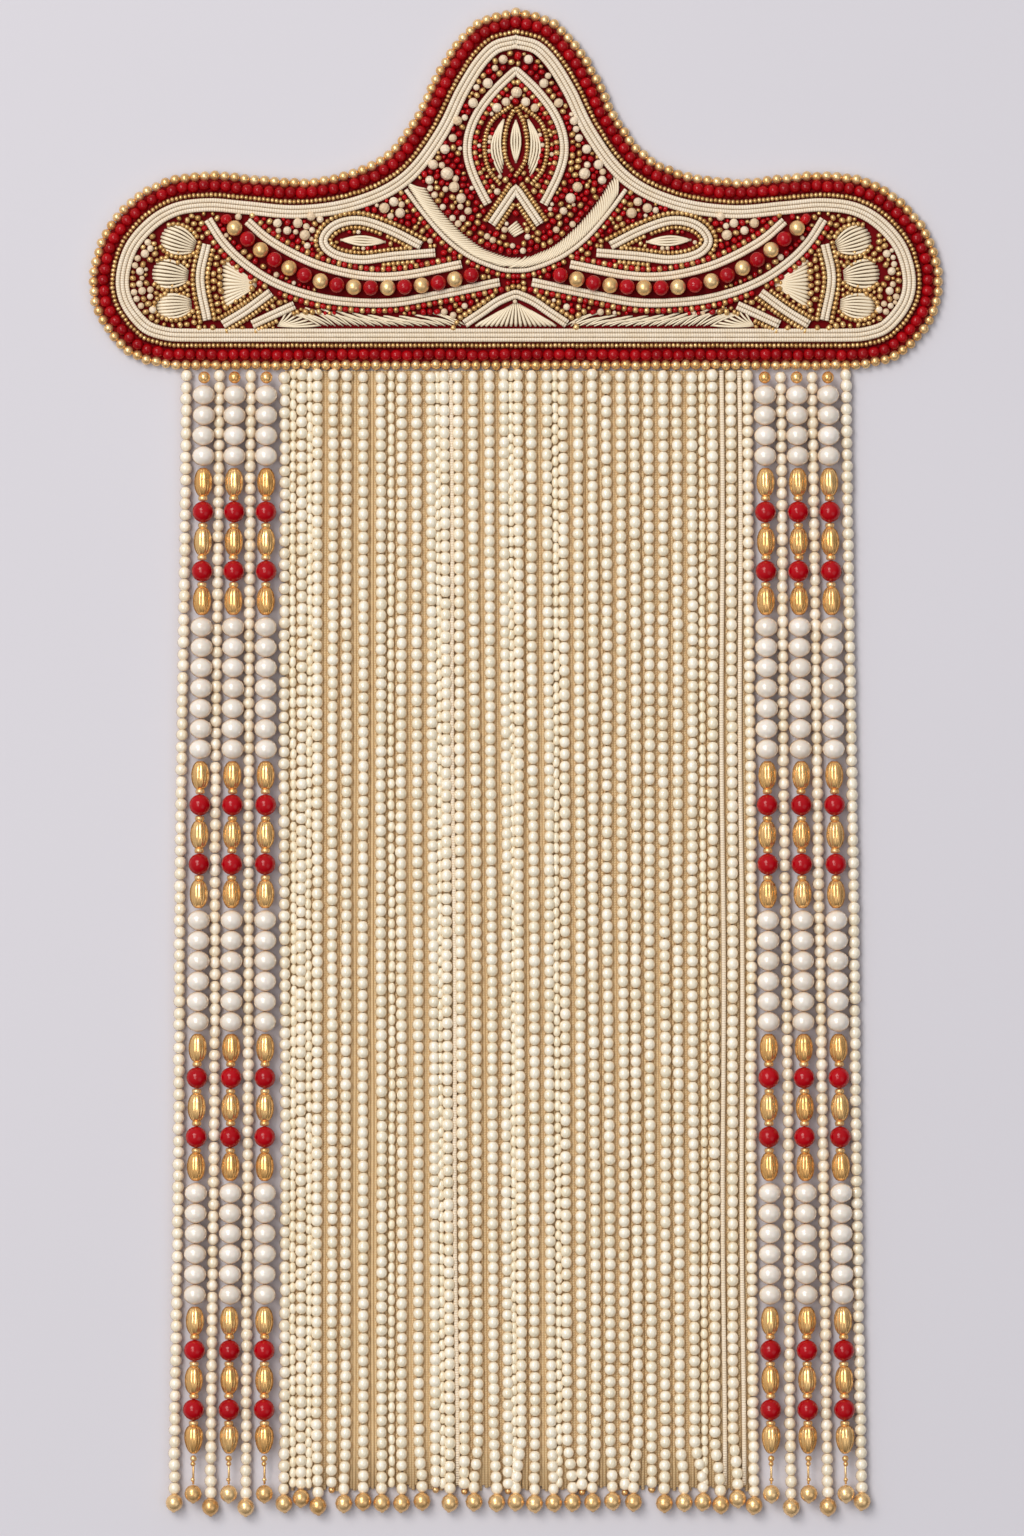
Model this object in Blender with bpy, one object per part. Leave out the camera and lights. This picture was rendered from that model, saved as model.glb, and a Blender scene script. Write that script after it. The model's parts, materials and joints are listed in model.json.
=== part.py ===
"""A sehra, the beaded veil that a groom wears on his forehead, lying flat on its back.

An embroidered crest with a pointed middle and two round lobes is at the +Y end. Pearl strings hang
from its straight edge towards -Y. The crest's back and the strings rest on Z = 0. Sizes are in mm.
"""

import math

import bpy
from mathutils import Vector

MM = 0.001
WELD = 0.01

# Crest, measured from its straight lower edge, which is the middle of the gold beads there
EDGE_Y = 114.0
BOARD_THICK = 2.6
BOARD_INSET = 4.9
BOARD_EDGE_ROUND = 0.5
OUTLINE_TOLERANCE = 0.45
GAP = 0.3
GOLD_RIM_RADIUS = 1.3
RED_RIM_INSET = 3.05
RED_RIM_RADIUS = 1.45
PIPING_INSET = 8.35

# Right half of the crest's outline, from its peak to the end of the straight lower edge, and a
# point farther along that edge, so that the curve runs into it
HALF_OUTLINE = (
    # x, y
    (0.0, 100.6),
    (9.3, 98.1),
    (16.3, 91.9),
    (22.6, 82.0),
    (28.2, 70.6),
    (36.6, 59.6),
    (48.0, 54.0),
    (62.0, 51.9),
    (76.0, 53.0),
    (88.0, 53.9),
    (99.5, 52.2),
    (109.3, 46.6),
    (117.3, 36.9),
    (120.6, 24.5),
    (118.3, 13.6),
    (110.6, 4.2),
    (101.5, 0.6),
    (92.0, 0.0),
)
EDGE_RUN_ON = (80.0, 0.0)
CURVE_STEPS = 6

# Cross-sections of the laid cords: half a section, from the middle of the top to the foot
PIPING_SECTION = ((0.0, 1.35), (0.63, 0.85), (1.27, 1.35), (1.9, 0.8), (1.9, 0.0))
DOUBLE_SECTION = ((0.0, 0.75), (0.68, 1.3), (1.35, 0.7), (1.35, 0.0))
# Whole section of the swag: a padded satin band with one thin cord along its outer side
SWAG_SECTION = (
    (-2.4, 0.0),
    (-2.4, 0.7),
    (-1.85, 1.1),
    (-1.3, 0.7),
    (-0.4, 1.6),
    (1.2, 1.6),
    (2.3, 0.7),
    (2.3, 0.0),
)

# Paths of the motifs, for the side at +X, as the crest lies
MOTIF_TOLERANCE = 0.2
UPPER_CORD = (
    (76.6, 40.6), (71.0, 36.0), (64.0, 31.8), (55.0, 27.9),
    (43.5, 25.3), (32.0, 25.4), (15.5, 28.6),
)
LOWER_CORD = (
    (87.6, 41.2),
    (83.6, 35.0),
    (78.3, 29.6),
    (70.8, 24.4),
    (61.8, 20.6),
    (51.0, 18.2),
    (36.0, 17.6),
    (22.0, 19.9),
    (4.6, 23.5),
)
BEAD_PATH = (
    (80.2, 38.8),
    (76.9, 36.0),
    (69.8, 30.4),
    (61.3, 25.8),
    (52.3, 22.8),
    (42.5, 21.8),
    (32.6, 22.0),
    (22.5, 23.1),
    (12.7, 25.4),
)
ROW_BEADS = 16
ROW_BEAD_RADIUS = 2.25
ROW_NECK_RADIUS = 0.9
ROW_END_REACH = 2.0
ARCH_SIDE = (
    (7.9, 45.7), (9.6, 48.8), (12.3, 54.5), (13.8, 60.4),
    (13.2, 66.3), (10.6, 72.2), (6.0, 78.2), (0.0, 84.0),
)
SWAG_SIDE = ((29.6, 50.4), (25.0, 43.6), (18.6, 37.0), (11.0, 31.4), (5.0, 28.8), (0.0, 28.0))
LEAF = (
    (54.4, 35.6), (51.4, 39.6), (44.4, 41.2), (36.2, 38.6),
    (26.2, 33.6), (35.0, 31.4), (44.2, 30.2), (51.4, 31.9),
)
CONE = ((0.0, 19.9), (5.0, 17.4), (9.2, 14.2), (13.4, 11.4))
PAD_HEIGHT = 1.2
PAD_ROUND = 0.4

# Inside the arch: a low ground of seed beads that carries a gable of double cord, an almond and two
# crescents in satin stitch, and a small square below them
ARCH_GROUND = (
    (0.0, 82.4),
    (4.9, 77.0),
    (9.5, 71.4),
    (12.0, 65.9),
    (12.5, 60.4),
    (11.1, 55.0),
    (8.5, 49.6),
    (7.0, 45.6),
    (7.0, 38.6),
    (3.4, 35.4),
)
GABLE_SIDE = ((6.9, 40.0), (0.0, 50.2))
ALMOND_SIDE = ((0.0, 70.2), (1.5, 66.4), (1.7, 62.6), (0.0, 57.2))
CRESCENT = (
    (3.2, 70.4), (5.8, 67.6), (7.0, 62.4), (6.2, 57.4),
    (4.2, 53.6), (3.5, 57.0), (4.3, 61.8), (3.4, 66.6),
)
SQUARE_SIDE = ((0.0, 41.0), (2.2, 38.6), (0.0, 36.2))

# Each lobe's end: petals, a fan, a band along the lower edge and three bars of double cord stand on
# a low ground of seed beads, which they are sunk into
LOBE_GROUND = (
    (62.4, 11.0),
    (62.6, 17.6),
    (72.2, 22.4),
    (80.0, 28.0),
    (85.6, 34.2),
    (89.8, 40.6),
    (97.0, 41.4),
    (102.4, 38.2),
    (107.2, 31.8),
    (109.2, 24.4),
    (107.8, 17.8),
    (103.4, 12.7),
    (98.6, 11.0),
)
GROUND_HEIGHT = 0.6
GROUND_ROUND = 0.2
SUNK = 0.1
PETALS = (
    # x, y, half width, half height
    (96.6, 35.2, 5.2, 4.4),
    (98.1, 25.9, 5.3, 4.1),
    (97.0, 16.9, 4.9, 3.5),
)
PETAL_SIDES = 12
LOBE_FAN = ((84.6, 30.2), (73.2, 22.9), (84.0, 15.8))
LOBE_BAND = ((64.6, 11.0), (59.4, 15.0), (50.0, 14.5), (40.0, 13.4), (30.0, 13.2), (22.6, 14.0), (19.2, 11.0))
LOBE_BARS = (
    # its path
    ((87.4, 34.4), (90.1, 24.4), (87.7, 13.0)),
    ((82.2, 12.4), (71.0, 20.4)),
    ((73.8, 12.2), (64.0, 17.0)),
)

# Small pearl strings, by the places of their upper and lower ends across the veil
STRING_RADIUS = 1.7
STRING_SIDES = 8
STRING_END_Y = -215.0
STRING_ENDS = (
    # upper x, lower x
    (-94.0, -97.6),
    (-84.6, -87.2),
    (-75.7, -77.1),
    (-66.0, -66.0),
    (-61.1, -61.4),
    (-56.6, -56.9),
    (-52.1, -52.6),
    (-48.3, -48.6),
    (-43.6, -43.6),
    (-38.6, -38.3),
    (-32.6, -32.6),
    (-28.4, -27.7),
    (-24.3, -22.9),
    (-20.5, -18.8),
    (-16.7, -14.7),
    (-12.3, -10.6),
    (-7.7, -6.2),
    (-3.4, -2.2),
    (0.5, 1.6),
    (4.4, 5.6),
    (8.8, 10.2),
    (13.4, 14.7),
    (17.7, 18.9),
    (21.7, 22.9),
    (25.7, 27.0),
    (29.9, 31.1),
    (33.8, 34.9),
    (37.7, 38.8),
    (42.0, 42.8),
    (45.9, 46.8),
    (50.1, 51.0),
    (56.0, 56.9),
    (61.4, 62.1),
    (66.2, 67.9),
    (75.6, 78.5),
    (84.5, 89.0),
    (94.2, 98.6),
)

# Large side strands. A run of pearls that touch is one smooth stretch
BEAD_SIDES = 10
STRAND_Z = 3.8
STRAND_RADIUS = 3.0
STRAND_ENDS = (
    # name, upper x, lower x
    ("left_strand_outer", -88.9, -92.2),
    ("left_strand_middle", -80.2, -82.0),
    ("left_strand_inner", -71.2, -71.8),
    ("right_strand_inner", 71.0, 72.9),
    ("right_strand_middle", 80.1, 83.6),
    ("right_strand_outer", 88.9, 94.3),
)
PEARL_LENGTH = 5.8
STRAND_PIECES = {
    # kind: length, radius of its widest part, length of that part, radius of the neck after it
    "cap": (4.2, 1.7, 0.0, 0.9),
    "pearls": (PEARL_LENGTH, 2.95, 2.8, 1.3),
    "oval": (9.2, 2.5, 0.0, 1.3),
    "ruby": (7.7, 2.9, 2.4, 1.3),
    "thread": (12.0, 0.9, 0.0, 0.9),
    "drop": (6.4, 2.4, 2.6, 0.8),
}
DANGLES = (("oval", 1), ("ruby", 1), ("oval", 1), ("ruby", 1), ("oval", 1))
STRAND_ORDER = (
    # kind, count in its run
    ("cap", 1),
    ("pearls", 4),
    *DANGLES,
    ("pearls", 7),
    *DANGLES,
    ("pearls", 6),
    *DANGLES,
    ("pearls", 6),
    *DANGLES,
    ("thread", 1),
    ("drop", 1),
)

MATERIALS = {
    # name: sRGB colour, roughness, metallic
    "velvet_red": ("7A0B12", 0.9, 0.0),
    "bead_gold": ("D9A957", 0.35, 0.8),
    "bead_red": ("9A0A18", 0.15, 0.0),
    "cord_cream": ("E8D9BD", 0.6, 0.0),
    "satin_cream": ("EBDDC2", 0.5, 0.0),
    "row_red_gold": ("B3041B", 0.15, 0.0),
    "pearl_cream": ("EFE3C8", 0.3, 0.0),
    "pearl_ivory": ("F3EDE4", 0.25, 0.0),
}


def linear(channel):
    return channel / 12.92 if channel <= 0.04045 else ((channel + 0.055) / 1.055) ** 2.4


def make_material(name, code, roughness, metallic):
    material = bpy.data.materials.new(name)
    material.use_nodes = True
    shader = material.node_tree.nodes["Principled BSDF"]
    channels = [linear(int(code[i : i + 2], 16) / 255) for i in (0, 2, 4)]
    shader.inputs["Base Color"].default_value = (*channels, 1.0)
    shader.inputs["Roughness"].default_value = roughness
    shader.inputs["Metallic"].default_value = metallic
    return material


def smoothed(points):
    """A Catmull-Rom curve through the points, as a list of 2D vectors."""
    knots = [Vector(point) for point in points]
    knots = [2 * knots[0] - knots[1], *knots, 2 * knots[-1] - knots[-2]]
    found = []
    for a, b, c, d in zip(knots, knots[1:], knots[2:], knots[3:]):
        for step in range(CURVE_STEPS):
            t = step / CURVE_STEPS
            found.append(
                0.5
                * (2 * b + (c - a) * t + (2 * a - 5 * b + 4 * c - d) * t**2 + (3 * b - a - 3 * c + d) * t**3)
            )
    return [*found, knots[-2]]


def thinned(points, tolerance):
    """The fewest of these points whose straight runs stay within the tolerance."""
    first, last = points[0], points[-1]
    along = (last - first).normalized()
    away = [abs((point - first).cross(along)) for point in points]
    worst = max(range(len(points)), key=away.__getitem__)
    if away[worst] <= tolerance:
        return [first, last]
    return thinned(points[: worst + 1], tolerance)[:-1] + thinned(points[worst:], tolerance)


def offset_loop(points, inset):
    """A closed loop that runs clockwise, moved inwards with its runs kept parallel."""
    moved = []
    for before, here, after in zip(points[-1:] + points[:-1], points, points[1:] + points[:1]):
        a = (here - before).normalized()
        b = (after - here).normalized()
        normal = Vector((a.y + b.y, -a.x - b.x)).normalized()
        moved.append(here + normal * inset / normal.dot(Vector((a.y, -a.x))))
    return moved


def stations(path, spacings):
    """Points at these distances apart along a path, which starts at its first point."""
    found = []
    goal = 0.0
    walked = 0.0
    runs = list(zip(path, path[1:]))
    for spacing in spacings:
        goal += spacing
        while len(runs) > 1 and walked + (runs[0][1] - runs[0][0]).length < goal:
            walked += (runs[0][1] - runs[0][0]).length
            runs.pop(0)
        a, b = runs[0]
        found.append(a + (b - a).normalized() * (goal - walked))
    return found


def path_length(path):
    return sum((b - a).length for a, b in zip(path, path[1:]))


def new_collection(name):
    collection = bpy.data.collections.new(name)
    bpy.context.scene.collection.children.link(collection)
    return collection


def new_curve(name, points, z, radii=None, closed=False):
    """A curve of straight runs through 2D points in mm, at a height."""
    data = bpy.data.curves.new(name, "CURVE")
    data.dimensions = "3D"
    data.twist_mode = "Z_UP"
    spline = data.splines.new("POLY")
    spline.points.add(len(points) - 1)
    for index, (place, knot) in enumerate(zip(points, spline.points)):
        knot.co = (place[0] * MM, place[1] * MM, z * MM, 1.0)
        knot.radius = radii[index] if radii else 1.0
    spline.use_cyclic_u = closed
    spline.use_smooth = False
    return data


def place(name, data, material):
    piece = bpy.data.objects.new(name, data)
    data.materials.append(MADE[material])
    PIECES.objects.link(piece)
    return piece


def tube(name, points, z, radius, material, sides=STRING_SIDES, radii=None, closed=False):
    """A round tube. With radii, its radius at each point is that many mm."""
    data = new_curve(name, points, z, [value / radius for value in radii] if radii else None, closed)
    data.bevel_depth = radius * MM
    data.bevel_resolution = sides // 2 - 2
    data.use_fill_caps = not closed
    return place(name, data, material)


def section(name, points):
    """A closed outline, hidden, that laid cords are swept with."""
    data = new_curve(name, points, 0.0, closed=True)
    data.dimensions = "2D"
    data.fill_mode = "NONE"
    guide = bpy.data.objects.new(name, data)
    guide.hide_render = True
    guide.display_type = "WIRE"
    GUIDES.objects.link(guide)
    return guide


def whole_section(half):
    """Both sides of a half section, from the left foot over the top to the right foot."""
    left = [(-x, y) for x, y in reversed(half)]
    return left[:-1] + list(half)


def laid(name, points, z, guide, material, closed=False):
    """A cord or band of this section, laid flat along a path."""
    data = new_curve(name, points, z, closed=closed)
    data.bevel_mode = "OBJECT"
    data.bevel_object = guide
    data.use_fill_caps = not closed
    return place(name, data, material)


def pad(name, outline, z, height, rounding, material):
    """A flat-backed pad of this outline with softened edges."""
    data = new_curve(name, outline, 0.0, closed=True)
    data.dimensions = "2D"
    data.fill_mode = "BOTH"
    data.extrude = (height / 2 - rounding) * MM
    data.bevel_depth = rounding * MM
    data.bevel_resolution = 0
    data.offset = -rounding * MM
    piece = place(name, data, material)
    piece.location.z = (z + height / 2) * MM
    return piece


def on_crest(points, side=1):
    """Points of the crest, from its lower edge up, as places in the object's frame."""
    return [Vector((side * x, y + EDGE_Y)) for x, y in points]


def solid_mesh(piece):
    """The piece with its curve made a mesh, so that a Boolean can take it."""
    bpy.context.view_layer.update()
    mesh = bpy.data.meshes.new_from_object(piece.evaluated_get(bpy.context.evaluated_depsgraph_get()))
    made = bpy.data.objects.new(piece.name, mesh)
    made.matrix_world = piece.matrix_world
    name = piece.name
    bpy.data.objects.remove(piece)
    made.name = name
    PIECES.objects.link(made)
    weld = made.modifiers.new("weld", "WELD")
    weld.merge_threshold = WELD * MM
    return made


def join(piece, others):
    """Fuses the others into the piece, and keeps them as hidden guides."""
    for other in others:
        PIECES.objects.unlink(other)
        GUIDES.objects.link(other)
        other.hide_render = True
        other.display_type = "WIRE"
        union = piece.modifiers.new("join_" + other.name, "BOOLEAN")
        union.operation = "UNION"
        union.solver = "EXACT"
        union.object = other


def build_crest():
    half = smoothed([*HALF_OUTLINE, EDGE_RUN_ON])[:-CURVE_STEPS]
    half = thinned(half, OUTLINE_TOLERANCE)
    loop = half + [Vector((-point.x, point.y)) for point in reversed(half[1:])]
    loop = on_crest(loop)

    pad("crest_board", offset_loop(loop, BOARD_INSET), 0.0, BOARD_THICK, BOARD_EDGE_ROUND, "velvet_red")
    tube("gold_rim", loop, GOLD_RIM_RADIUS, GOLD_RIM_RADIUS, "bead_gold", closed=True)
    red_loop = offset_loop(loop, RED_RIM_INSET)
    tube("red_rim", red_loop, RED_RIM_RADIUS, RED_RIM_RADIUS, "bead_red", closed=True)
    top = BOARD_THICK + GAP
    triple = section("piping_section", whole_section(PIPING_SECTION))
    laid("border_piping", offset_loop(loop, PIPING_INSET), top, triple, "cord_cream", closed=True)
    return top


def build_motifs(top):
    double = section("double_section", whole_section(DOUBLE_SECTION))
    for side, word in ((-1, "left"), (1, "right")):
        for name, route in (("upper", UPPER_CORD), ("lower", LOWER_CORD)):
            route = thinned(smoothed(on_crest(route, side)), MOTIF_TOLERANCE)
            laid(f"{word}_{name}_cord", route, top, double, "cord_cream")
        row = smoothed(on_crest(BEAD_PATH, side))
        pitch = path_length(row) / (ROW_BEADS - 1)
        steps = [0.0] + [pitch / 2] * (2 * ROW_BEADS - 2)
        places = stations(row, steps)
        first, last = places[0], places[-1]
        places.insert(0, first + (first - places[1]).normalized() * ROW_END_REACH)
        places.append(last + (last - places[-2]).normalized() * ROW_END_REACH)
        radii = [ROW_BEAD_RADIUS if i % 2 else ROW_NECK_RADIUS for i in range(len(places))]
        middle = top + ROW_BEAD_RADIUS
        tube(f"{word}_bead_row", places, middle, ROW_BEAD_RADIUS, "row_red_gold", BEAD_SIDES, radii)
        pad(f"{word}_leaf", on_crest(LEAF, side), top, PAD_HEIGHT, PAD_ROUND, "cord_cream")
        build_lobe_end(word, side, top, double)

    build_arch(top, double)
    swag = smoothed(on_crest(SWAG_SIDE))
    swag += [Vector((-point.x, point.y)) for point in reversed(swag[:-1])]
    band = section("swag_section", SWAG_SECTION)
    laid("swag_band", thinned_parts(swag), top, band, "satin_cream")
    pad("centre_fan", whole_outline(CONE), top, PAD_HEIGHT, PAD_ROUND, "satin_cream")


def thinned_parts(points):
    """A motif's path thinned, with its middle point kept."""
    middle = len(points) // 2
    return thinned(points[: middle + 1], MOTIF_TOLERANCE)[:-1] + thinned(points[middle:], MOTIF_TOLERANCE)


def whole_outline(half):
    """Both sides of an outline whose ends may lie on the crest's middle line."""
    left = [(-x, y) for x, y in reversed(half) if x]
    return on_crest([*half, *left])


def build_arch(top, double):
    ground = solid_mesh(
        pad("arch_cord", whole_outline(ARCH_GROUND), top, GROUND_HEIGHT, GROUND_ROUND, "cord_cream")
    )
    arch = smoothed(on_crest(ARCH_SIDE))
    arch += [Vector((-point.x, point.y)) for point in reversed(arch[:-1])]
    gable = on_crest(GABLE_SIDE) + on_crest(GABLE_SIDE[:1], -1)
    raised = [
        laid("arch_line", thinned_parts(arch), top + SUNK, double, "cord_cream"),
        laid("gable_line", gable, top + SUNK, double, "cord_cream"),
    ]
    outlines = {
        "almond": whole_outline(ALMOND_SIDE),
        "left_crescent": on_crest(CRESCENT, -1),
        "right_crescent": on_crest(CRESCENT),
        "square": whole_outline(SQUARE_SIDE),
    }
    for name, outline in outlines.items():
        raised.append(pad(name, outline, top + SUNK, PAD_HEIGHT, PAD_ROUND, "satin_cream"))
    join(ground, [solid_mesh(piece) for piece in raised])


def build_lobe_end(word, side, top, double):
    ground = pad(
        f"{word}_lobe_motif", on_crest(LOBE_GROUND, side), top, GROUND_HEIGHT, GROUND_ROUND, "satin_cream"
    )
    ground = solid_mesh(ground)
    outlines = [LOBE_FAN, LOBE_BAND]
    for x, y, half_width, half_height in PETALS:
        turns = [2 * math.pi * step / PETAL_SIDES for step in range(PETAL_SIDES)]
        outlines.append([(x + half_width * math.cos(t), y + half_height * math.sin(t)) for t in turns])
    raised = [
        pad(f"{word}_pad_{number}", on_crest(outline, side), top + SUNK, PAD_HEIGHT, PAD_ROUND, "satin_cream")
        for number, outline in enumerate(outlines, 1)
    ]
    raised += [
        laid(f"{word}_bar_{number}", on_crest(path, side), top + SUNK, double, "cord_cream")
        for number, path in enumerate(LOBE_BARS, 1)
    ]
    join(ground, [solid_mesh(piece) for piece in raised])


def strand_profile():
    """The steps along a side strand, and its radius at each of them."""
    spacings = [0.0]
    radii = [STRAND_PIECES["cap"][3]]
    for kind, count in STRAND_ORDER:
        length, radius, straight, neck = STRAND_PIECES[kind]
        straight += (count - 1) * length
        slope = (count * length - straight) / 2
        if radius == neck:
            spacings.append(length)
        elif straight:
            spacings += [slope, straight, slope]
            radii += [radius, radius]
        else:
            spacings += [slope, slope]
            radii.append(radius)
        radii.append(neck)
    return spacings, radii


def build_strings():
    upper = EDGE_Y - GOLD_RIM_RADIUS - GAP
    for number, (upper_x, lower_x) in enumerate(STRING_ENDS, 1):
        ends = [(upper_x, upper), (lower_x, STRING_END_Y)]
        tube(f"pearl_string_{number:02d}", ends, STRING_RADIUS, STRING_RADIUS, "pearl_cream")
    for name, upper_x, lower_x in STRAND_ENDS:
        spacings, radii = strand_profile()
        path = [Vector((upper_x, upper)), Vector((lower_x, upper - sum(spacings)))]
        tube(name, stations(path, spacings), STRAND_Z, STRAND_RADIUS, "pearl_ivory", BEAD_SIDES, radii)


for old in list(bpy.data.objects):
    bpy.data.objects.remove(old)
PIECES = new_collection("sehra")
GUIDES = new_collection("guides")
GUIDES.hide_render = True
MADE = {name: make_material(name, *values) for name, values in MATERIALS.items()}
crest_top = build_crest()
build_motifs(crest_top)
build_strings()
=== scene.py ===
"""The looks of a groom's sehra: an embroidered, bead-edged velvet crest with a curtain of pearl strings."""

import json
import math
import random

import bpy
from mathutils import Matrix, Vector

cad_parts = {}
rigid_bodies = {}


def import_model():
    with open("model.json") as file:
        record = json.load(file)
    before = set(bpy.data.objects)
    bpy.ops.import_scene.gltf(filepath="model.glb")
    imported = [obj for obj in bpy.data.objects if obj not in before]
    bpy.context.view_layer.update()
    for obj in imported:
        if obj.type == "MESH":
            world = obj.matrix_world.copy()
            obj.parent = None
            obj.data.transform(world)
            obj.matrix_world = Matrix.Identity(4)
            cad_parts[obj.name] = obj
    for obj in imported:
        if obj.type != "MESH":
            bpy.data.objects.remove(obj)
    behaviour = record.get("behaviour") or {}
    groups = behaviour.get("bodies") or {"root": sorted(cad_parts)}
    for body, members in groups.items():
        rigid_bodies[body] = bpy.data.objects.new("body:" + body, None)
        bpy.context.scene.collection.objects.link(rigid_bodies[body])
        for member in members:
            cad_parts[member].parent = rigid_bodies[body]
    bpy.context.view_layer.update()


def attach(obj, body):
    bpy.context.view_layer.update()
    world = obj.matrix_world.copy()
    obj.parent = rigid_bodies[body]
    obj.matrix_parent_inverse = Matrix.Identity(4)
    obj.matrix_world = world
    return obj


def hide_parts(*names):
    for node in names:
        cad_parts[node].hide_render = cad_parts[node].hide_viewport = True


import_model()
MM = 0.001

# Camera: straight above the lying veil, its frame 438.9 mm high, a little off the veil's middle
LENS_MM = 180.0
SENSOR_MM = 36.0
FRAME_HEIGHT_MM = 438.9
FRAME_MIDDLE = (-1.1, -1.1)
camera = bpy.data.objects.new("camera", bpy.data.cameras.new("camera"))
camera.data.lens = LENS_MM
camera.data.sensor_width = SENSOR_MM
camera_height = FRAME_HEIGHT_MM * LENS_MM / SENSOR_MM
camera.location = (FRAME_MIDDLE[0] * MM, FRAME_MIDDLE[1] * MM, camera_height * MM)
bpy.context.scene.collection.objects.link(camera)
bpy.context.scene.camera = camera

# Studio light: a large soft lamp up and to the left, a second one nearer overhead, a weak one opposite
# them, and a pale room that is brighter on the large lamp's side. The Standard view keeps the reds and
# golds as deep as the hex values below.
bpy.context.scene.view_settings.view_transform = "Standard"
WARM_LIGHT = (1.0, 0.97, 0.93)
COOL_LIGHT = (0.95, 0.96, 1.0)
LAMPS = (
    # name, place in metres, size in metres, watts, colour
    ("key_light", (-1.2, 1.4, 2.5), 1.45, 49.0, WARM_LIGHT),
    ("upper_light", (-0.95, -0.05, 2.7), 1.15, 19.0, WARM_LIGHT),
    ("fill_light", (1.6, -1.0, 2.4), 2.0, 9.0, COOL_LIGHT),
)
for name, place, size, power, colour in LAMPS:
    lamp = bpy.data.objects.new(name, bpy.data.lights.new(name, "AREA"))
    lamp.data.size = size
    lamp.data.energy = power
    lamp.data.color = colour
    lamp.location = place
    lamp.rotation_euler = (-Vector(place)).to_track_quat("-Z", "Y").to_euler()
    bpy.context.scene.collection.objects.link(lamp)
room = bpy.data.worlds.new("room")
room.use_nodes = True
bpy.context.scene.world = room


def srgb(code):
    """A hex colour as Blender's linear RGBA."""
    parts = [int(code[i : i + 2], 16) / 255 for i in (0, 2, 4)]
    return (*(c / 12.92 if c <= 0.04045 else ((c + 0.055) / 1.055) ** 2.4 for c in parts), 1.0)


def add_node(tree, kind, settings=None, **links):
    """Adds a node. settings are its own, links are values or other nodes' sockets by input name."""
    made = tree.nodes.new(kind)
    for name, value in (settings or {}).items():
        setattr(made, name, value)
    for name, value in links.items():
        socket = made.inputs[int(name[1:]) if name[1:].isdigit() else name.replace("_", " ")]
        if isinstance(value, bpy.types.NodeSocket):
            tree.links.new(value, socket)
        else:
            socket.default_value = value
    return made


COLOUR_MIX = ("ShaderNodeMix", {"data_type": "RGBA"})


def new_finish(name, roughness, metallic=0.0):
    """A material with a Principled shader, as (material, its tree, the shader)."""
    material = bpy.data.materials.new(name)
    material.use_nodes = True
    shader = material.node_tree.nodes["Principled BSDF"]
    shader.inputs["Roughness"].default_value = roughness
    shader.inputs["Metallic"].default_value = metallic
    return material, material.node_tree, shader


KEY_SIDE = (-0.46, 0.54, 0.7)
tree = room.node_tree
air = tree.nodes["Background"]
air.inputs["Color"].default_value = srgb("F2F4FA")
seen = add_node(tree, "ShaderNodeTexCoord")
facing = add_node(
    tree, "ShaderNodeVectorMath", {"operation": "DOT_PRODUCT"}, _0=seen.outputs["Generated"], _1=KEY_SIDE
)
glow = add_node(
    tree, "ShaderNodeMapRange", Value=facing.outputs["Value"], From_Min=-0.2, To_Min=0.1, To_Max=0.75
)
tree.links.new(glow.outputs[0], air.inputs["Strength"])


# Floor: a plain pale sheet just under the veil. Its sizes are in metres.
FLOOR_REACH = 9.0
FLOOR_Z = -0.0003
floor_mesh = bpy.data.meshes.new("floor")
corners = [(FLOOR_REACH * x, FLOOR_REACH * y, FLOOR_Z) for x, y in ((-1, -1), (1, -1), (1, 1), (-1, 1))]
floor_mesh.from_pydata(corners, [], [(0, 1, 2, 3)])
floor = bpy.data.objects.new("floor", floor_mesh)
bpy.context.scene.collection.objects.link(floor)
floor_paint, tree, shader = new_finish("pale_matte_backdrop", 0.6)
coordinates = add_node(tree, "ShaderNodeTexCoord")
clouds = add_node(tree, "ShaderNodeTexNoise", Vector=coordinates.outputs["Object"], Scale=3.0)
tint = add_node(tree, *COLOUR_MIX, Factor=clouds.outputs["Fac"], _6=srgb("D0CDD3"), _7=srgb("CAC7CD"))
tree.links.new(tint.outputs[2], shader.inputs["Base Color"])
floor_mesh.materials.append(floor_paint)


# Velvet board: the crest's base, a stiff board covered in deep red velvet. The rim strings are sewn
# round its edge and everything else is sewn through its face.
EDGE_Y = 114.0
BOARD_TOP = 2.6
BOARD_INSET = 4.75
HALF_OUTLINE = (
    # x, y of the middle of the outermost beads, from the peak to the end of the straight edge
    (0.0, 100.6), (9.3, 98.1), (16.3, 91.9), (22.6, 82.0), (28.2, 70.6), (36.6, 59.6), (48.0, 54.0),
    (62.0, 51.9), (76.0, 53.0), (88.0, 53.9), (99.5, 52.2), (109.3, 46.6), (117.3, 36.9), (120.6, 24.5),
    (118.3, 13.6), (110.6, 4.2), (101.5, 0.6), (92.0, 0.0),
)
EDGE_RUN_ON = (80.0, 0.0)
STRAIGHT_EDGE = range(88, 0, -4)
CURVE_STEPS = 10


def smoothed(points, steps=CURVE_STEPS, closed=False):
    """A Catmull-Rom curve through 2D or 3D points."""
    knots = [Vector(point) for point in points]
    if closed:
        knots = [knots[-1], *knots, knots[0], knots[1]]
    else:
        knots = [2 * knots[0] - knots[1], *knots, 2 * knots[-1] - knots[-2]]
    found = []
    for a, b, c, d in zip(knots, knots[1:], knots[2:], knots[3:]):
        for step in range(steps):
            t = step / steps
            second = 2 * a - 5 * b + 4 * c - d
            third = 3 * b - a - 3 * c + d
            found.append(0.5 * (2 * b + (c - a) * t + second * t**2 + third * t**3))
    return found if closed else [*found, knots[-2]]


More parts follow.
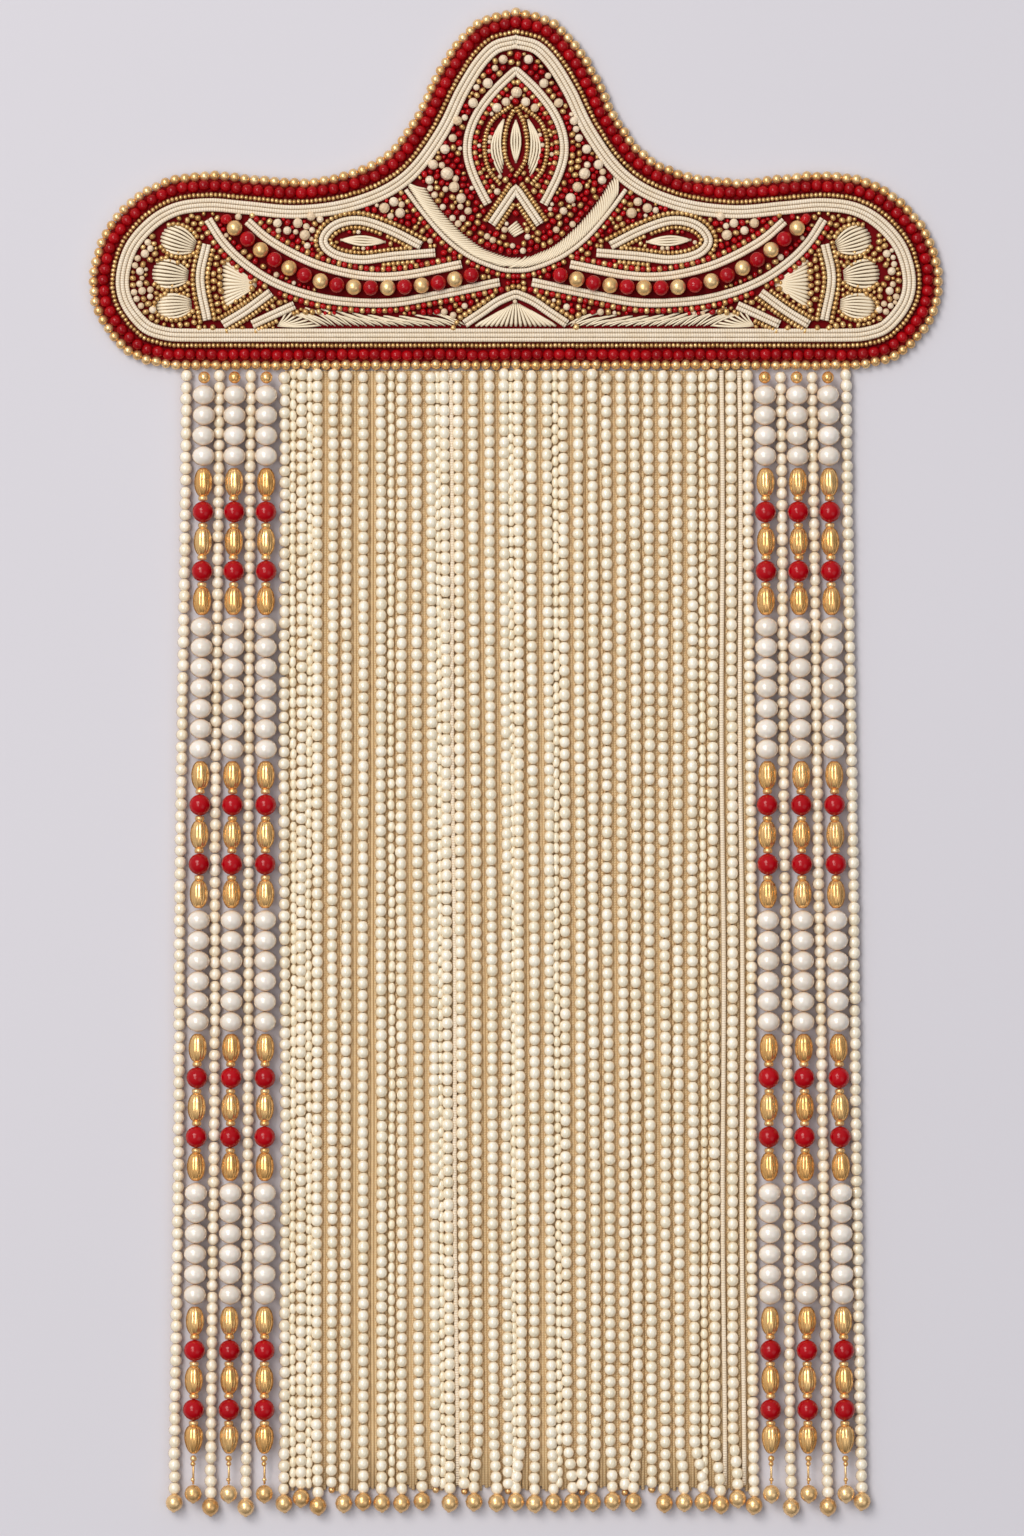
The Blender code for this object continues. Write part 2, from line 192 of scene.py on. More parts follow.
def even(path, pitch, closed=False):
    """Points along a path at an even pitch that fits its length, as (point, direction) pairs."""
    ring = [*path, path[0]] if closed else list(path)
    runs = [(b - a).length for a, b in zip(ring, ring[1:])]
    count = max(1, round(sum(runs) / pitch))
    found = []
    index, walked = 0, 0.0
    for step in range(count if closed else count + 1):
        goal = sum(runs) * step / count
        while index < len(runs) - 1 and walked + runs[index] < goal:
            walked += runs[index]
            index += 1
        direction = (ring[index + 1] - ring[index]).normalized()
        found.append((ring[index] + direction * (goal - walked), direction))
    return found


def offset(path, distance, closed=False):
    """A 2D path moved to the right of its direction."""
    moved = []
    for i, point in enumerate(path):
        before = path[i - 1] if i or closed else point
        after = path[(i + 1) % len(path)] if i + 1 < len(path) or closed else point
        along = (after - before).normalized()
        moved.append(point + Vector((along.y, -along.x)) * distance)
    return moved


def crest_loop(inset):
    """The crest's outline, clockwise from its peak, moved inwards."""
    half = smoothed([*HALF_OUTLINE, EDGE_RUN_ON])[:-CURVE_STEPS]
    line = half + [Vector((x, 0.0)) for x in STRAIGHT_EDGE]
    loop = line + [Vector((-point.x, point.y)) for point in reversed(line[1:])]
    return offset(loop, inset, closed=True)


def in_frame(points):
    """Crest points, in mm from its lower edge, as 2D points of the veil."""
    return [Vector((point[0], point[1] + EDGE_Y)) for point in points]


def new_mesh(name, vertices, faces, uv=None, smooth=True):
    """A mesh from vertices in mm."""
    mesh = bpy.data.meshes.new(name)
    mesh.from_pydata([Vector(vertex) * MM for vertex in vertices], [], faces)
    if uv:
        layer = mesh.uv_layers.new(name="UVMap")
        layer.data.foreach_set("uv", [value for pair in uv for value in pair])
    mesh.polygons.foreach_set("use_smooth", [smooth] * len(mesh.polygons))
    return mesh


def new_piece(name, mesh, finish, slot, *nodes):
    """A piece that rides on the veil and, where nodes are named, stands for them."""
    mesh.materials.clear()
    mesh.materials.append(finish)
    piece = bpy.data.objects.new(name, mesh)
    bpy.context.scene.collection.objects.link(piece)
    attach(piece, "root")
    if nodes:
        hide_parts(*nodes)


# Silk velvet: the short upright pile swallows light, so it looks deep and matt, cloudy where it leans.
# The pile is drawn 0.4 mm coarse, since the real 0.1 mm wouldn't show.
velvet, tree, shader = new_finish("short_pile_silk_velvet", 0.85)
coordinates = add_node(tree, "ShaderNodeTexCoord")
pile = add_node(tree, "ShaderNodeTexNoise", Vector=coordinates.outputs["Object"], Scale=2500.0, Detail=3.0)
shading = add_node(tree, "ShaderNodeTexNoise", Vector=coordinates.outputs["Object"], Scale=90.0)
tint = add_node(tree, *COLOUR_MIX, Factor=shading.outputs["Fac"], _6=srgb("4A0206"), _7=srgb("7C060C"))
tree.links.new(tint.outputs[2], shader.inputs["Base Color"])
bump = add_node(tree, "ShaderNodeBump", Height=pile.outputs["Fac"], Strength=0.5, Distance=0.0002)
tree.links.new(bump.outputs["Normal"], shader.inputs["Normal"])
shader.inputs["Specular IOR Level"].default_value = 0.1
shader.inputs["Sheen Weight"].default_value = 0.06
shader.inputs["Sheen Roughness"].default_value = 0.4
shader.inputs["Sheen Tint"].default_value = srgb("C8303C")

BOARD_ROWS = (
    # inset beyond the board's edge, height
    (0.5, 0.05),
    (0.0, 0.5),
    (0.0, 2.0),
    (0.3, 2.45),
    (0.9, BOARD_TOP),
)
rings = [[(p.x, p.y, z) for p in in_frame(crest_loop(BOARD_INSET + inset))] for inset, z in BOARD_ROWS]
around = len(rings[0])
vertices = [vertex for ring in rings for vertex in ring]
faces = []
for low in range(0, (len(rings) - 1) * around, around):
    high = low + around
    for i in range(around):
        after = (i + 1) % around
        faces.append((high + i, high + after, low + after, low + i))
faces.append(tuple(range(around)))
faces.append(tuple(reversed(range((len(rings) - 1) * around, len(rings) * around))))
board_mesh = new_mesh("velvet_board", vertices, faces, smooth=False)
new_piece("velvet_board", board_mesh, velvet, "velvet_red", "crest_board")


# Bead rims: two strings of beads sewn round the board's edge, satin gold outside and dark red
# glass inside, and a line of fine gold seed beads where the red ones meet the piping.
PATTERNS = bpy.data.collections.new("bead_patterns")
bpy.context.scene.collection.children.link(PATTERNS)


def turned(name, profile, sides, flutes=0, depth=0.0):
    """A bead turned round its thread, which is Z. The profile is (radius, place along it) rows."""
    vertices, faces = [], []
    for radius, height in profile:
        for step in range(sides):
            turn = 2 * math.pi * step / sides
            wide = radius * (1 - depth * (0.5 - 0.5 * math.cos(flutes * turn)))
            vertices.append((wide * math.cos(turn), wide * math.sin(turn), height))
    for row in range(len(profile) - 1):
        for step in range(sides):
            after = (step + 1) % sides
            low, high = row * sides, (row + 1) * sides
            faces.append((low + step, low + after, high + after, high + step))
    faces.append(tuple(reversed(range(sides))))
    faces.append(tuple(range((len(profile) - 1) * sides, len(profile) * sides)))
    pattern = bpy.data.objects.new(name, new_mesh(name, vertices, faces))
    PATTERNS.objects.link(pattern)
    return pattern


def round_profile(radius, rings, hole=0.2, squash=1.0):
    """Rows of a round bead with small flats where the thread goes in."""
    low = math.asin(hole)
    turns = [low + (math.pi - 2 * low) * i / rings for i in range(rings + 1)]
    return [(radius * math.sin(turn), -squash * radius * math.cos(turn)) for turn in turns]


def beads_on_points():
    """Geometry Nodes: a bead at each point, turned and sized by the point's own attributes."""
    tree = bpy.data.node_groups.new("beads_on_points", "GeometryNodeTree")
    for name, kind in (("Points", "Geometry"), ("Bead", "Object")):
        tree.interface.new_socket(name, in_out="INPUT", socket_type=f"NodeSocket{kind}")
    tree.interface.new_socket("Beads", in_out="OUTPUT", socket_type="NodeSocketGeometry")
    given = add_node(tree, "NodeGroupInput")
    turn = add_node(tree, "GeometryNodeInputNamedAttribute", {"data_type": "FLOAT_VECTOR"}, Name="turn")
    size = add_node(tree, "GeometryNodeInputNamedAttribute", {"data_type": "FLOAT_VECTOR"}, Name="size")
    bead = add_node(tree, "GeometryNodeObjectInfo", Object=given.outputs["Bead"], As_Instance=True)
    placed = add_node(
        tree,
        "GeometryNodeInstanceOnPoints",
        Points=given.outputs["Points"],
        Instance=bead.outputs["Geometry"],
        Rotation=turn.outputs["Attribute"],
        Scale=size.outputs["Attribute"],
    )
    real = add_node(tree, "GeometryNodeRealizeInstances", Geometry=placed.outputs["Instances"])
    add_node(tree, "NodeGroupOutput", Beads=real.outputs["Geometry"])
    return tree


BEAD_TREE = beads_on_points()


def threaded(name, places, bead, finish, slot, *nodes):
    """A piece made of beads. Each place is (x, y, z in mm, thread's direction as an angle in the plane,
    size); the size may be one number, or one across and one along the thread."""
    points = bpy.data.meshes.new(name + "_points")
    points.from_pydata([Vector(place[:3]) * MM for place in places], [], [])
    rng = random.Random(len(places) * 31 + len(name))
    turns, sizes, tones = [], [], []
    for place in places:
        across, along = place[4] if isinstance(place[4], tuple) else (place[4], place[4])
        turns += (math.pi / 2, rng.uniform(-0.05, 0.05), place[3] + math.pi / 2)
        sizes += (across, across, along)
        tones.append(rng.random())
    points.attributes.new("turn", "FLOAT_VECTOR", "POINT").data.foreach_set("vector", turns)
    points.attributes.new("size", "FLOAT_VECTOR", "POINT").data.foreach_set("vector", sizes)
    points.attributes.new("tone", "FLOAT", "POINT").data.foreach_set("value", tones)
    maker = bpy.data.objects.new(name + "_maker", points)
    bpy.context.scene.collection.objects.link(maker)
    modifier = maker.modifiers.new("beads", "NODES")
    modifier.node_group = BEAD_TREE
    inputs = {item.name: item.identifier for item in BEAD_TREE.interface.items_tree if item.in_out == "INPUT"}
    modifier[inputs["Bead"]] = bead
    bpy.context.view_layer.update()
    mesh = bpy.data.meshes.new_from_object(maker.evaluated_get(bpy.context.evaluated_depsgraph_get()))
    bpy.data.objects.remove(maker)
    bpy.data.meshes.remove(points)
    for attribute in ("turn", "size"):
        if attribute in mesh.attributes:
            mesh.attributes.remove(mesh.attributes[attribute])
    mesh.name = name
    new_piece(name, mesh, finish, slot, *nodes)


def bead_finish(name, dark, light, roughness, metallic, scale, bump, coat=0.0, gloss=0.5):
    """A finish whose colour varies from bead to bead and within each, with fine unevenness."""
    material, tree, shader = new_finish(name, roughness, metallic)
    coordinates = add_node(tree, "ShaderNodeTexCoord")
    tone = add_node(tree, "ShaderNodeAttribute", {"attribute_name": "tone"})
    noise = add_node(
        tree, "ShaderNodeTexNoise", Vector=coordinates.outputs["Object"], Scale=scale, Detail=3.0
    )
    mixed = add_node(
        tree, "ShaderNodeMath", {"operation": "ADD"}, _0=tone.outputs["Fac"], _1=noise.outputs["Fac"]
    )
    half = add_node(tree, "ShaderNodeMath", {"operation": "MULTIPLY"}, _0=mixed.outputs[0], _1=0.5)
    tint = add_node(tree, *COLOUR_MIX, Factor=half.outputs[0], _6=srgb(dark), _7=srgb(light))
    tree.links.new(tint.outputs[2], shader.inputs["Base Color"])
    rough = add_node(
        tree, "ShaderNodeMapRange", Value=noise.outputs["Fac"], To_Min=roughness * 0.7, To_Max=roughness * 1.4
    )
    tree.links.new(rough.outputs[0], shader.inputs["Roughness"])
    uneven = add_node(tree, "ShaderNodeBump", Height=noise.outputs["Fac"], Strength=bump, Distance=0.0003)
    tree.links.new(uneven.outputs["Normal"], shader.inputs["Normal"])
    shader.inputs["Specular IOR Level"].default_value = gloss
    shader.inputs["Coat Weight"].default_value = coat
    shader.inputs["Coat Roughness"].default_value = 0.1
    return material, shader


# Satin gold plate on glass: broad soft lights, a little different from bead to bead.
satin_gold, _ = bead_finish("satin_gold_beads", "D8A25C", "FFDCA4", 0.26, 0.72, 700.0, 0.15)
# Cut gold seeds: facets of about 0.6 mm, drawn as bump, break the light into points.
seed_gold, _ = bead_finish("cut_gold_seed_beads", "AE7C38", "F6D092", 0.28, 0.65, 1600.0, 0.5)
# Dark red glass: one small sharp light on a deep colour.
rim_red, _ = bead_finish("dark_red_glass_beads", "780006", "B20410", 0.12, 0.0, 500.0, 0.1, gloss=0.25)
round_bead = turned("round_bead", round_profile(1.0, 6), 12)
seed_bead = turned("seed_bead", ((0.55, -0.75), (1.0, -0.35), (1.0, 0.35), (0.55, 0.75)), 7)
RIM_ROWS = (
    # name, inset, height of its middle, bead radius, pitch, pattern, finish, slot, nodes it stands for
    ("gold_rim_beads", 0.0, 1.55, 1.47, 2.86, round_bead, satin_gold, "bead_gold", ["gold_rim"]),
    ("red_rim_beads", 2.85, 2.0, 1.74, 3.1, round_bead, rim_red, "bead_red", ["red_rim"]),
    ("fine_gold_edge", 5.45, 3.0, 0.74, 1.25, seed_bead, seed_gold, "bead_gold", []),
)
rng = random.Random(11)
for name, inset, height, radius, pitch, bead, finish, slot, nodes in RIM_ROWS:
    places = []
    for point, along in even(in_frame(crest_loop(inset)), pitch, closed=True):
        push = rng.uniform(-0.12, 0.12) * radius
        x, y = point.x - along.y * push, point.y + along.x * push
        z = height + rng.uniform(-0.05, 0.05)
        size = (radius * rng.uniform(0.93, 1.03), radius * rng.uniform(0.92, 1.04))
        places.append((x, y, z, math.atan2(along.y, along.x), size))
    threaded(name, places, bead, finish, slot, *nodes)


# Piping: three cream cords, each wound with fine thread, laid side by side inside the rims.
CORD_RADIUS = 0.66
COUCHED_LIFT = 0.3
CORD_Z = BOARD_TOP + COUCHED_LIFT + CORD_RADIUS
CORD_PITCH = 1.28
PIPING_INSET = 8.35


def cord_piece(name, paths, radii, finish, slot, *nodes, sides=8, closed=False):
    """A piece of round cords along 3D paths. Its UVs run round each cord, and along it in mm."""
    vertices, faces, uv = [], [], []
    for path, radius in zip(paths, radii):
        base = len(vertices)
        count = len(path)
        lengths = [0.0]
        for i, point in enumerate(path):
            before = path[i - 1] if i or closed else point
            after = path[(i + 1) % count] if i + 1 < count or closed else point
            along = (after - before).normalized()
            side = along.cross(Vector((0, 0, 1))).normalized()
            up = side.cross(along)
            here = radius[i] if isinstance(radius, (list, tuple)) else radius
            for step in range(sides):
                turn = 2 * math.pi * step / sides
                vertices.append(point + (side * math.cos(turn) + up * math.sin(turn)) * here)
            lengths.append(lengths[-1] + (path[(i + 1) % count] - point).length)
        for i in range(count if closed else count - 1):
            for step in range(sides):
                after = (step + 1) % sides
                low, high = base + i * sides, base + (i + 1) % count * sides
                faces.append((low + step, low + after, high + after, high + step))
                u, v = step / sides, lengths[i]
                uv += [(u, v), (u + 1 / sides, v), (u + 1 / sides, lengths[i + 1]), (u, lengths[i + 1])]
        if not closed:
            faces.append(tuple(reversed(range(base, base + sides))))
            uv += [(0.5, lengths[0])] * sides
            faces.append(tuple(range(base + (count - 1) * sides, base + count * sides)))
            uv += [(0.5, lengths[-2])] * sides
    new_piece(name, new_mesh(name, vertices, faces, uv), finish, slot, *nodes)


def lifted(path, height):
    return [Vector((point.x, point.y, height)) for point in path]


def paint_shade_on_sides(tree, uv_node, tint, dark, low, high):
    """The colour with a darker one painted where the thread's sides turn down: painted shade where threads
    lie close.
    """
    spread = add_node(tree, "ShaderNodeSeparateXYZ", Vector=uv_node.outputs["UV"])
    angle = add_node(tree, "ShaderNodeMath", {"operation": "MULTIPLY"}, _0=spread.outputs["X"], _1=math.tau)
    height = add_node(tree, "ShaderNodeMath", {"operation": "SINE"}, _0=angle.outputs[0])
    lit = add_node(tree, "ShaderNodeMapRange", Value=height.outputs[0], From_Min=low, From_Max=high)
    mixed = add_node(tree, *COLOUR_MIX, Factor=lit.outputs[0], _6=srgb(dark), _7=tint.outputs[2])
    return mixed.outputs[2]


# Cotton wound round a core: soft light broken by ridges, with painted shade in the grooves between the turns
# and painted warm shade down both sides of each cord. The turns are drawn 0.7 mm apart, about twice the real
# pitch, so that they show.
wound_cord, tree, shader = new_finish("thread_wound_cotton_cord", 0.55)
uv_node = add_node(tree, "ShaderNodeUVMap", {"uv_map": "UVMap"})
coordinates = add_node(tree, "ShaderNodeTexCoord")
winding = add_node(
    tree,
    "ShaderNodeTexWave",
    {"wave_type": "BANDS", "bands_direction": "Y"},
    Vector=uv_node.outputs["UV"],
    Scale=0.45,
    Distortion=0.8,
    Detail=1.0,
)
patches = add_node(tree, "ShaderNodeTexNoise", Vector=coordinates.outputs["Object"], Scale=220.0, Detail=4.0)
tint = add_node(tree, *COLOUR_MIX, Factor=patches.outputs["Fac"], _6=srgb("E4CFAE"), _7=srgb("FAEEDC"))
wound = add_node(tree, "ShaderNodeMapRange", Value=winding.outputs["Fac"], From_Max=0.5, To_Min=0.55)
ridges = add_node(tree, *COLOUR_MIX, Factor=wound.outputs[0], _6=srgb("C0A070"), _7=tint.outputs[2])
tree.links.new(paint_shade_on_sides(tree, uv_node, ridges, "8E683C", -0.1, 0.6), shader.inputs["Base Color"])
bump = add_node(tree, "ShaderNodeBump", Height=winding.outputs["Fac"], Strength=0.6, Distance=0.0002)
tree.links.new(bump.outputs["Normal"], shader.inputs["Normal"])

paths = []
for inset in (PIPING_INSET - CORD_PITCH, PIPING_INSET, PIPING_INSET + CORD_PITCH):
    loop = [point for point, _ in even(in_frame(crest_loop(inset)), 1.6, closed=True)]
    paths.append(lifted(loop, CORD_Z))
cord_piece("piping_cords", paths, [CORD_RADIUS] * 3, wound_cord, "cord_cream", "border_piping", closed=True)


# Binding: two thin rolls of the same velvet round the board. They finish its cut edge, are stitched to
# it, and carry the rim strings, which hide most of them.
BINDING_ROLLS = (
    # inset, height of its middle, radius
    (1.5, 0.95, 0.9),
    (4.1, 1.2, 0.95),
)
paths = []
for inset, height, _ in BINDING_ROLLS:
    loop = [point for point, _ in even(in_frame(crest_loop(inset)), 2.0, closed=True)]
    paths.append(lifted(loop, height))
radii = [radius for _, _, radius in BINDING_ROLLS]
cord_piece("velvet_binding", paths, radii, velvet, "velvet_red", closed=True)


# Motif cords: pairs of the same wound cord, couched down side by side. They make the sweeping lines
# of each lobe, the pointed arch in the middle, and the small bars at the lobes' ends.
taken = []


def claim(path, radius):
    """Notes that this stretch of the crest is covered, so that filling beads stay clear of it."""
    taken.extend((point.x, point.y, radius) for point, _ in even(path, 0.8))


PAIR_SHIFT = 0.65
PAIR_CLEARANCE = 1.5
UPPER_ROUTE = (
    (76.6, 40.9), (71.0, 36.0), (64.0, 31.8), (55.0, 27.9), (43.5, 25.3), (32.0, 25.4), (15.5, 28.6),
)
LOWER_ROUTE = (
    (87.8, 41.4), (83.6, 35.0), (78.3, 29.6), (70.8, 24.4), (61.8, 20.6), (51.0, 18.2), (36.0, 17.6),
    (22.0, 19.9), (4.6, 23.5),
)
LEAF_ROUTE = (
    (23.0, 31.9), (35.0, 30.9), (44.4, 29.9), (52.0, 31.6), (55.0, 35.4), (51.6, 39.7), (44.6, 41.1),
    (36.0, 38.4), (27.0, 33.9),
)
ARCH_ROUTE = (
    (7.9, 45.7), (9.6, 48.8), (12.3, 54.5), (13.8, 60.4), (13.2, 66.3), (10.6, 72.2), (6.0, 78.2),
    (0.0, 84.0),
)
MIRRORED_PAIRS = (
    # name, node, points of the pair's middle line at +X
    ("upper_cords", "upper_cord", UPPER_ROUTE),
    ("lower_cords", "lower_cord", LOWER_ROUTE),
    ("lobe_bars", "lobe_motif", ((88.2, 34.3), (90.1, 24.4), (88.0, 12.6))),
    ("long_stems", "lobe_motif", ((83.6, 11.4), (77.0, 15.4), (69.9, 20.6))),
    ("short_stems", "lobe_motif", ((75.2, 11.4), (69.0, 14.3), (63.2, 16.9))),
    ("leaf_rims", "leaf", LEAF_ROUTE),
    ("arch_cords", "arch_cord", ARCH_ROUTE),
    ("gable_cords", "arch_cord", ((6.9, 40.0), (3.5, 45.0), (0.0, 50.2))),
    ("fan_roof_cords", "centre_fan", ((14.6, 11.6), (9.6, 14.9), (4.9, 18.1), (0.0, 20.2))),
)


def mirrored(points):
    return [Vector((-point[0], point[1])) for point in points]


right_sides = {}
for name, node, points in MIRRORED_PAIRS:
    right = smoothed(points, 6)
    right_sides[name] = right
    if points[-1][0] == 0.0:
        routes = [right + mirrored(reversed(right[:-1]))]
        nodes = [node]
    else:
        routes = [right, mirrored(right)]
        nodes = [f"right_{node}", f"left_{node}"]
    paths = []
    for route in routes:
        placed = in_frame(route)
        claim(placed, PAIR_CLEARANCE)
        for shift in (-PAIR_SHIFT, PAIR_SHIFT):
            line = [point for point, _ in even(offset(placed, shift), 1.0)]
            paths.append(lifted(line, CORD_Z))
    cord_piece(name, paths, [CORD_RADIUS] * len(paths), wound_cord, "cord_cream", *nodes)


# Bead rows: one string in each lobe between its cords, of red and satin gold beads in turn.
ROW_BEADS = 16
ROW_RADIUS = 2.25
ROW_CLEARANCE = 2.4
ROW_PATH = (
    (80.2, 38.8), (76.9, 36.0), (69.8, 30.4), (61.3, 25.8), (52.3, 22.8), (42.5, 21.8), (32.6, 22.0),
    (22.5, 23.1), (12.7, 25.4),
)
# Polished red glass, with one sharp light, and a paler satin gold than the rim's.
glossy_red, _ = bead_finish("glossy_red_beads", "92000A", "B40214", 0.1, 0.0, 300.0, 0.03, gloss=0.3)
pale_gold, _ = bead_finish("satin_pale_gold_beads", "E4B06A", "FFE0A8", 0.28, 0.65, 900.0, 0.12)
fine_round_bead = turned("fine_round_bead", round_profile(1.0, 9, 0.15), 16)
for side in (1, -1):
    row = in_frame(smoothed([(side * x, y) for x, y in ROW_PATH]))
    spots = even(row, sum((b - a).length for a, b in zip(row, row[1:])) / (ROW_BEADS - 1))
    claim(row, ROW_CLEARANCE)
    word = "right" if side > 0 else "left"
    for colour, finish, first in (("gold", pale_gold, 0), ("red", glossy_red, 1)):
        height = BOARD_TOP + COUCHED_LIFT + ROW_RADIUS
        places = [(p.x, p.y, height, math.atan2(d.y, d.x), ROW_RADIUS) for p, d in spots[first::2]]
        name = f"{word}_row_{colour}_beads"
        threaded(name, places, fine_round_bead, finish, "row_red_gold", f"{word}_bead_row")


# Satin stitch: flat silk thread laid over padding, thread beside thread. It fills the three petals
# and the fan of each lobe, the leaves, the swag's band, and the ornament inside the arch.
STITCH_Z = BOARD_TOP + 0.15
STITCH_TAPER = 0.75
# Untwisted silk: a soft line of light along each thread, and painted warm shade where two threads meet. About
# nine fibres are drawn round a thread, far fewer than the real one has, so that they show.
silk, tree, shader = new_finish("satin_stitched_silk", 0.42)
uv_node = add_node(tree, "ShaderNodeUVMap", {"uv_map": "UVMap"})
stretch = add_node(tree, "ShaderNodeMapping", Vector=uv_node.outputs["UV"], Scale=(9.0, 0.2, 1.0))
fibres = add_node(tree, "ShaderNodeTexNoise", Vector=stretch.outputs["Vector"], Scale=1.0, Detail=4.0)
tint = add_node(tree, *COLOUR_MIX, Factor=fibres.outputs["Fac"], _6=srgb("E2CBA4"), _7=srgb("F6EAD2"))
tree.links.new(paint_shade_on_sides(tree, uv_node, tint, "7A5426", 0.1, 0.85), shader.inputs["Base Color"])
bump = add_node(tree, "ShaderNodeBump", Height=fibres.outputs["Fac"], Strength=0.4, Distance=0.0001)
tree.links.new(bump.outputs["Normal"], shader.inputs["Normal"])


def stitch(a, b, rise, bow=0.0, steps=7):
    """A thread from a to b that rises over its padding and may bow to its left."""
    a, b = Vector(a), Vector(b)
    side = Vector((a.y - b.y, b.x - a.x)).normalized()
    found = []
    for step in range(steps + 1):
        t = step / steps
        swell = math.sin(math.pi * min(max(t, 0.001), 0.999)) ** 0.6
        point = a + (b - a) * t + side * bow * math.sin(math.pi * t)
        found.append(Vector((point.x, point.y, STITCH_Z + rise * swell)))
    return found


def stitched(name, threads, *nodes):
    """A piece of satin stitches. Each thread is its path, its radius at the start and at the end."""
    paths = [path for path, _, _ in threads]
    radii = []
    for path, start, end in threads:
        last = len(path) - 1
        widths = [start + (end - start) * i / last for i in range(last + 1)]
        widths[0] *= STITCH_TAPER
        widths[-1] *= STITCH_TAPER
        radii.append(widths)
    cord_piece(name, paths, radii, silk, "satin_cream", *nodes, sides=6)


def spreads(count):
    """Even steps from -1 to 1."""
    return [2 * index / (count - 1) - 1 for index in range(count)]


def fan_stitches(tip, tip_half, far, far_half, count, rise, tip_radius, far_radius, dome, curl=0.0):
    """Threads that fan from a short line at the tip to a longer one at the far side."""
    tip, far = Vector(tip), Vector(far)
    along = (far - tip).normalized()
    side = Vector((-along.y, along.x))
    threads = []
    for spread in spreads(count):
        a = tip + side * tip_half * spread
        b = far + side * far_half * spread - along * dome * spread * spread
        height = rise * (1.05 - 0.35 * spread * spread)
        threads.append((stitch(a, b, height, curl * spread), tip_radius, far_radius))
    return threads


PETALS = (
    # tip x, tip y, far x, far y, half width at the far side
    (91.6, 33.6, 101.0, 37.0, 3.7),
    (93.6, 25.2, 103.6, 26.4, 3.8),
    (92.6, 17.0, 102.4, 16.4, 3.1),
)
FAN = ((74.0, 22.9), (83.8, 23.0), 6.6)
for side, word in ((1, "right"), (-1, "left")):
    threads = []
    for tip_x, tip_y, far_x, far_y, half in PETALS:
        tip, far = in_frame([(side * tip_x, tip_y), (side * far_x, far_y)])
        threads += fan_stitches(
            tip, 1.5, far, half, count=8, rise=1.1, tip_radius=0.3, far_radius=0.62, dome=1.6, curl=0.9
        )
        for reach in (0.2, 0.4, 0.6, 0.8):
            here = tip.lerp(far, reach)
            taken.append((here.x, here.y, 2.2 + (half - 1.8) * reach))
    stitched(f"{word}_petal_stitches", threads, f"{word}_lobe_motif")
    tip, far, half = FAN
    tip, far = in_frame([(side * tip[0], tip[1]), (side * far[0], far[1])])
    threads = fan_stitches(tip, 0.5, far, half, count=11, rise=0.9, tip_radius=0.2, far_radius=0.72, dome=0.4)
    stitched(f"{word}_fan_stitches", threads, f"{word}_lobe_motif")
    for reach in (0.0, 0.35, 0.7):
        here = tip.lerp(far, 0.35 + 0.65 * reach)
        wide = 1.5 + 4.2 * reach
        claim([here + Vector((0, -wide)), here + Vector((0, wide))], 1.3)
    threads = []
    middle = in_frame([(side * 43.6, 35.6)])[0]
    for spread in spreads(4):
        a = middle + Vector((side * 6.4, 0.15 * spread))
        b = middle + Vector((side * -6.4, -0.6 + 0.15 * spread))
        threads.append((stitch(a, b, 0.9, 1.35 * spread * side, 9), 0.42, 0.42))
    stitched(f"{word}_leaf_stitches", threads, f"{word}_leaf")
    claim([middle + Vector((-5.5, 0)), middle + Vector((5.5, 0))], 1.7)


# Swag: a thin wound cord couched down in a curve under the arch, and a band of satin stitch inside it,
# worked slantwise over padding.
SWAG_CORD = ((31.4, 49.9), (26.5, 43.3), (20.0, 35.9), (12.9, 30.6), (4.7, 27.3), (0.0, 26.7))
SWAG_BAND = (
    # x, y of the band's middle, its half width
    (28.6, 51.2, 1.9),
    (23.6, 43.8, 1.9),
    (17.6, 37.3, 1.8),
    (11.1, 32.4, 1.6),
    (4.4, 29.8, 1.4),
    (0.0, 29.2, 1.3),
)
BAND_PITCH = 0.98
BAND_SLANT = 2.6
half = smoothed(SWAG_CORD)
right_sides["swag_cord"] = half
line = in_frame(half + mirrored(reversed(half[:-1])))
claim(line, 0.9)
path = lifted([point for point, _ in even(line, 1.0)], CORD_Z)
cord_piece("swag_cord", [path], [CORD_RADIUS], wound_cord, "cord_cream", "swag_band")
band = smoothed([Vector(row) for row in SWAG_BAND], 8)
band = band + [Vector((-row.x, row.y, row.z)) for row in reversed(band[:-1])]
threads = []
for here, along in even(band, BAND_PITCH):
    along = along.to_2d().normalized()
    side = Vector((along.y, -along.x))
    centre = here.to_2d() + Vector((0, EDGE_Y))
    slant = along * BAND_SLANT
    a = centre + side * here.z - slant
    b = centre - side * here.z + slant
    threads.append((stitch(a, b, 0.7, 0.5), 0.4, 0.4))
stitched("swag_band_stitches", threads, "swag_band")
claim([Vector((row.x, row.y + EDGE_Y)) for row in band], 2.0)


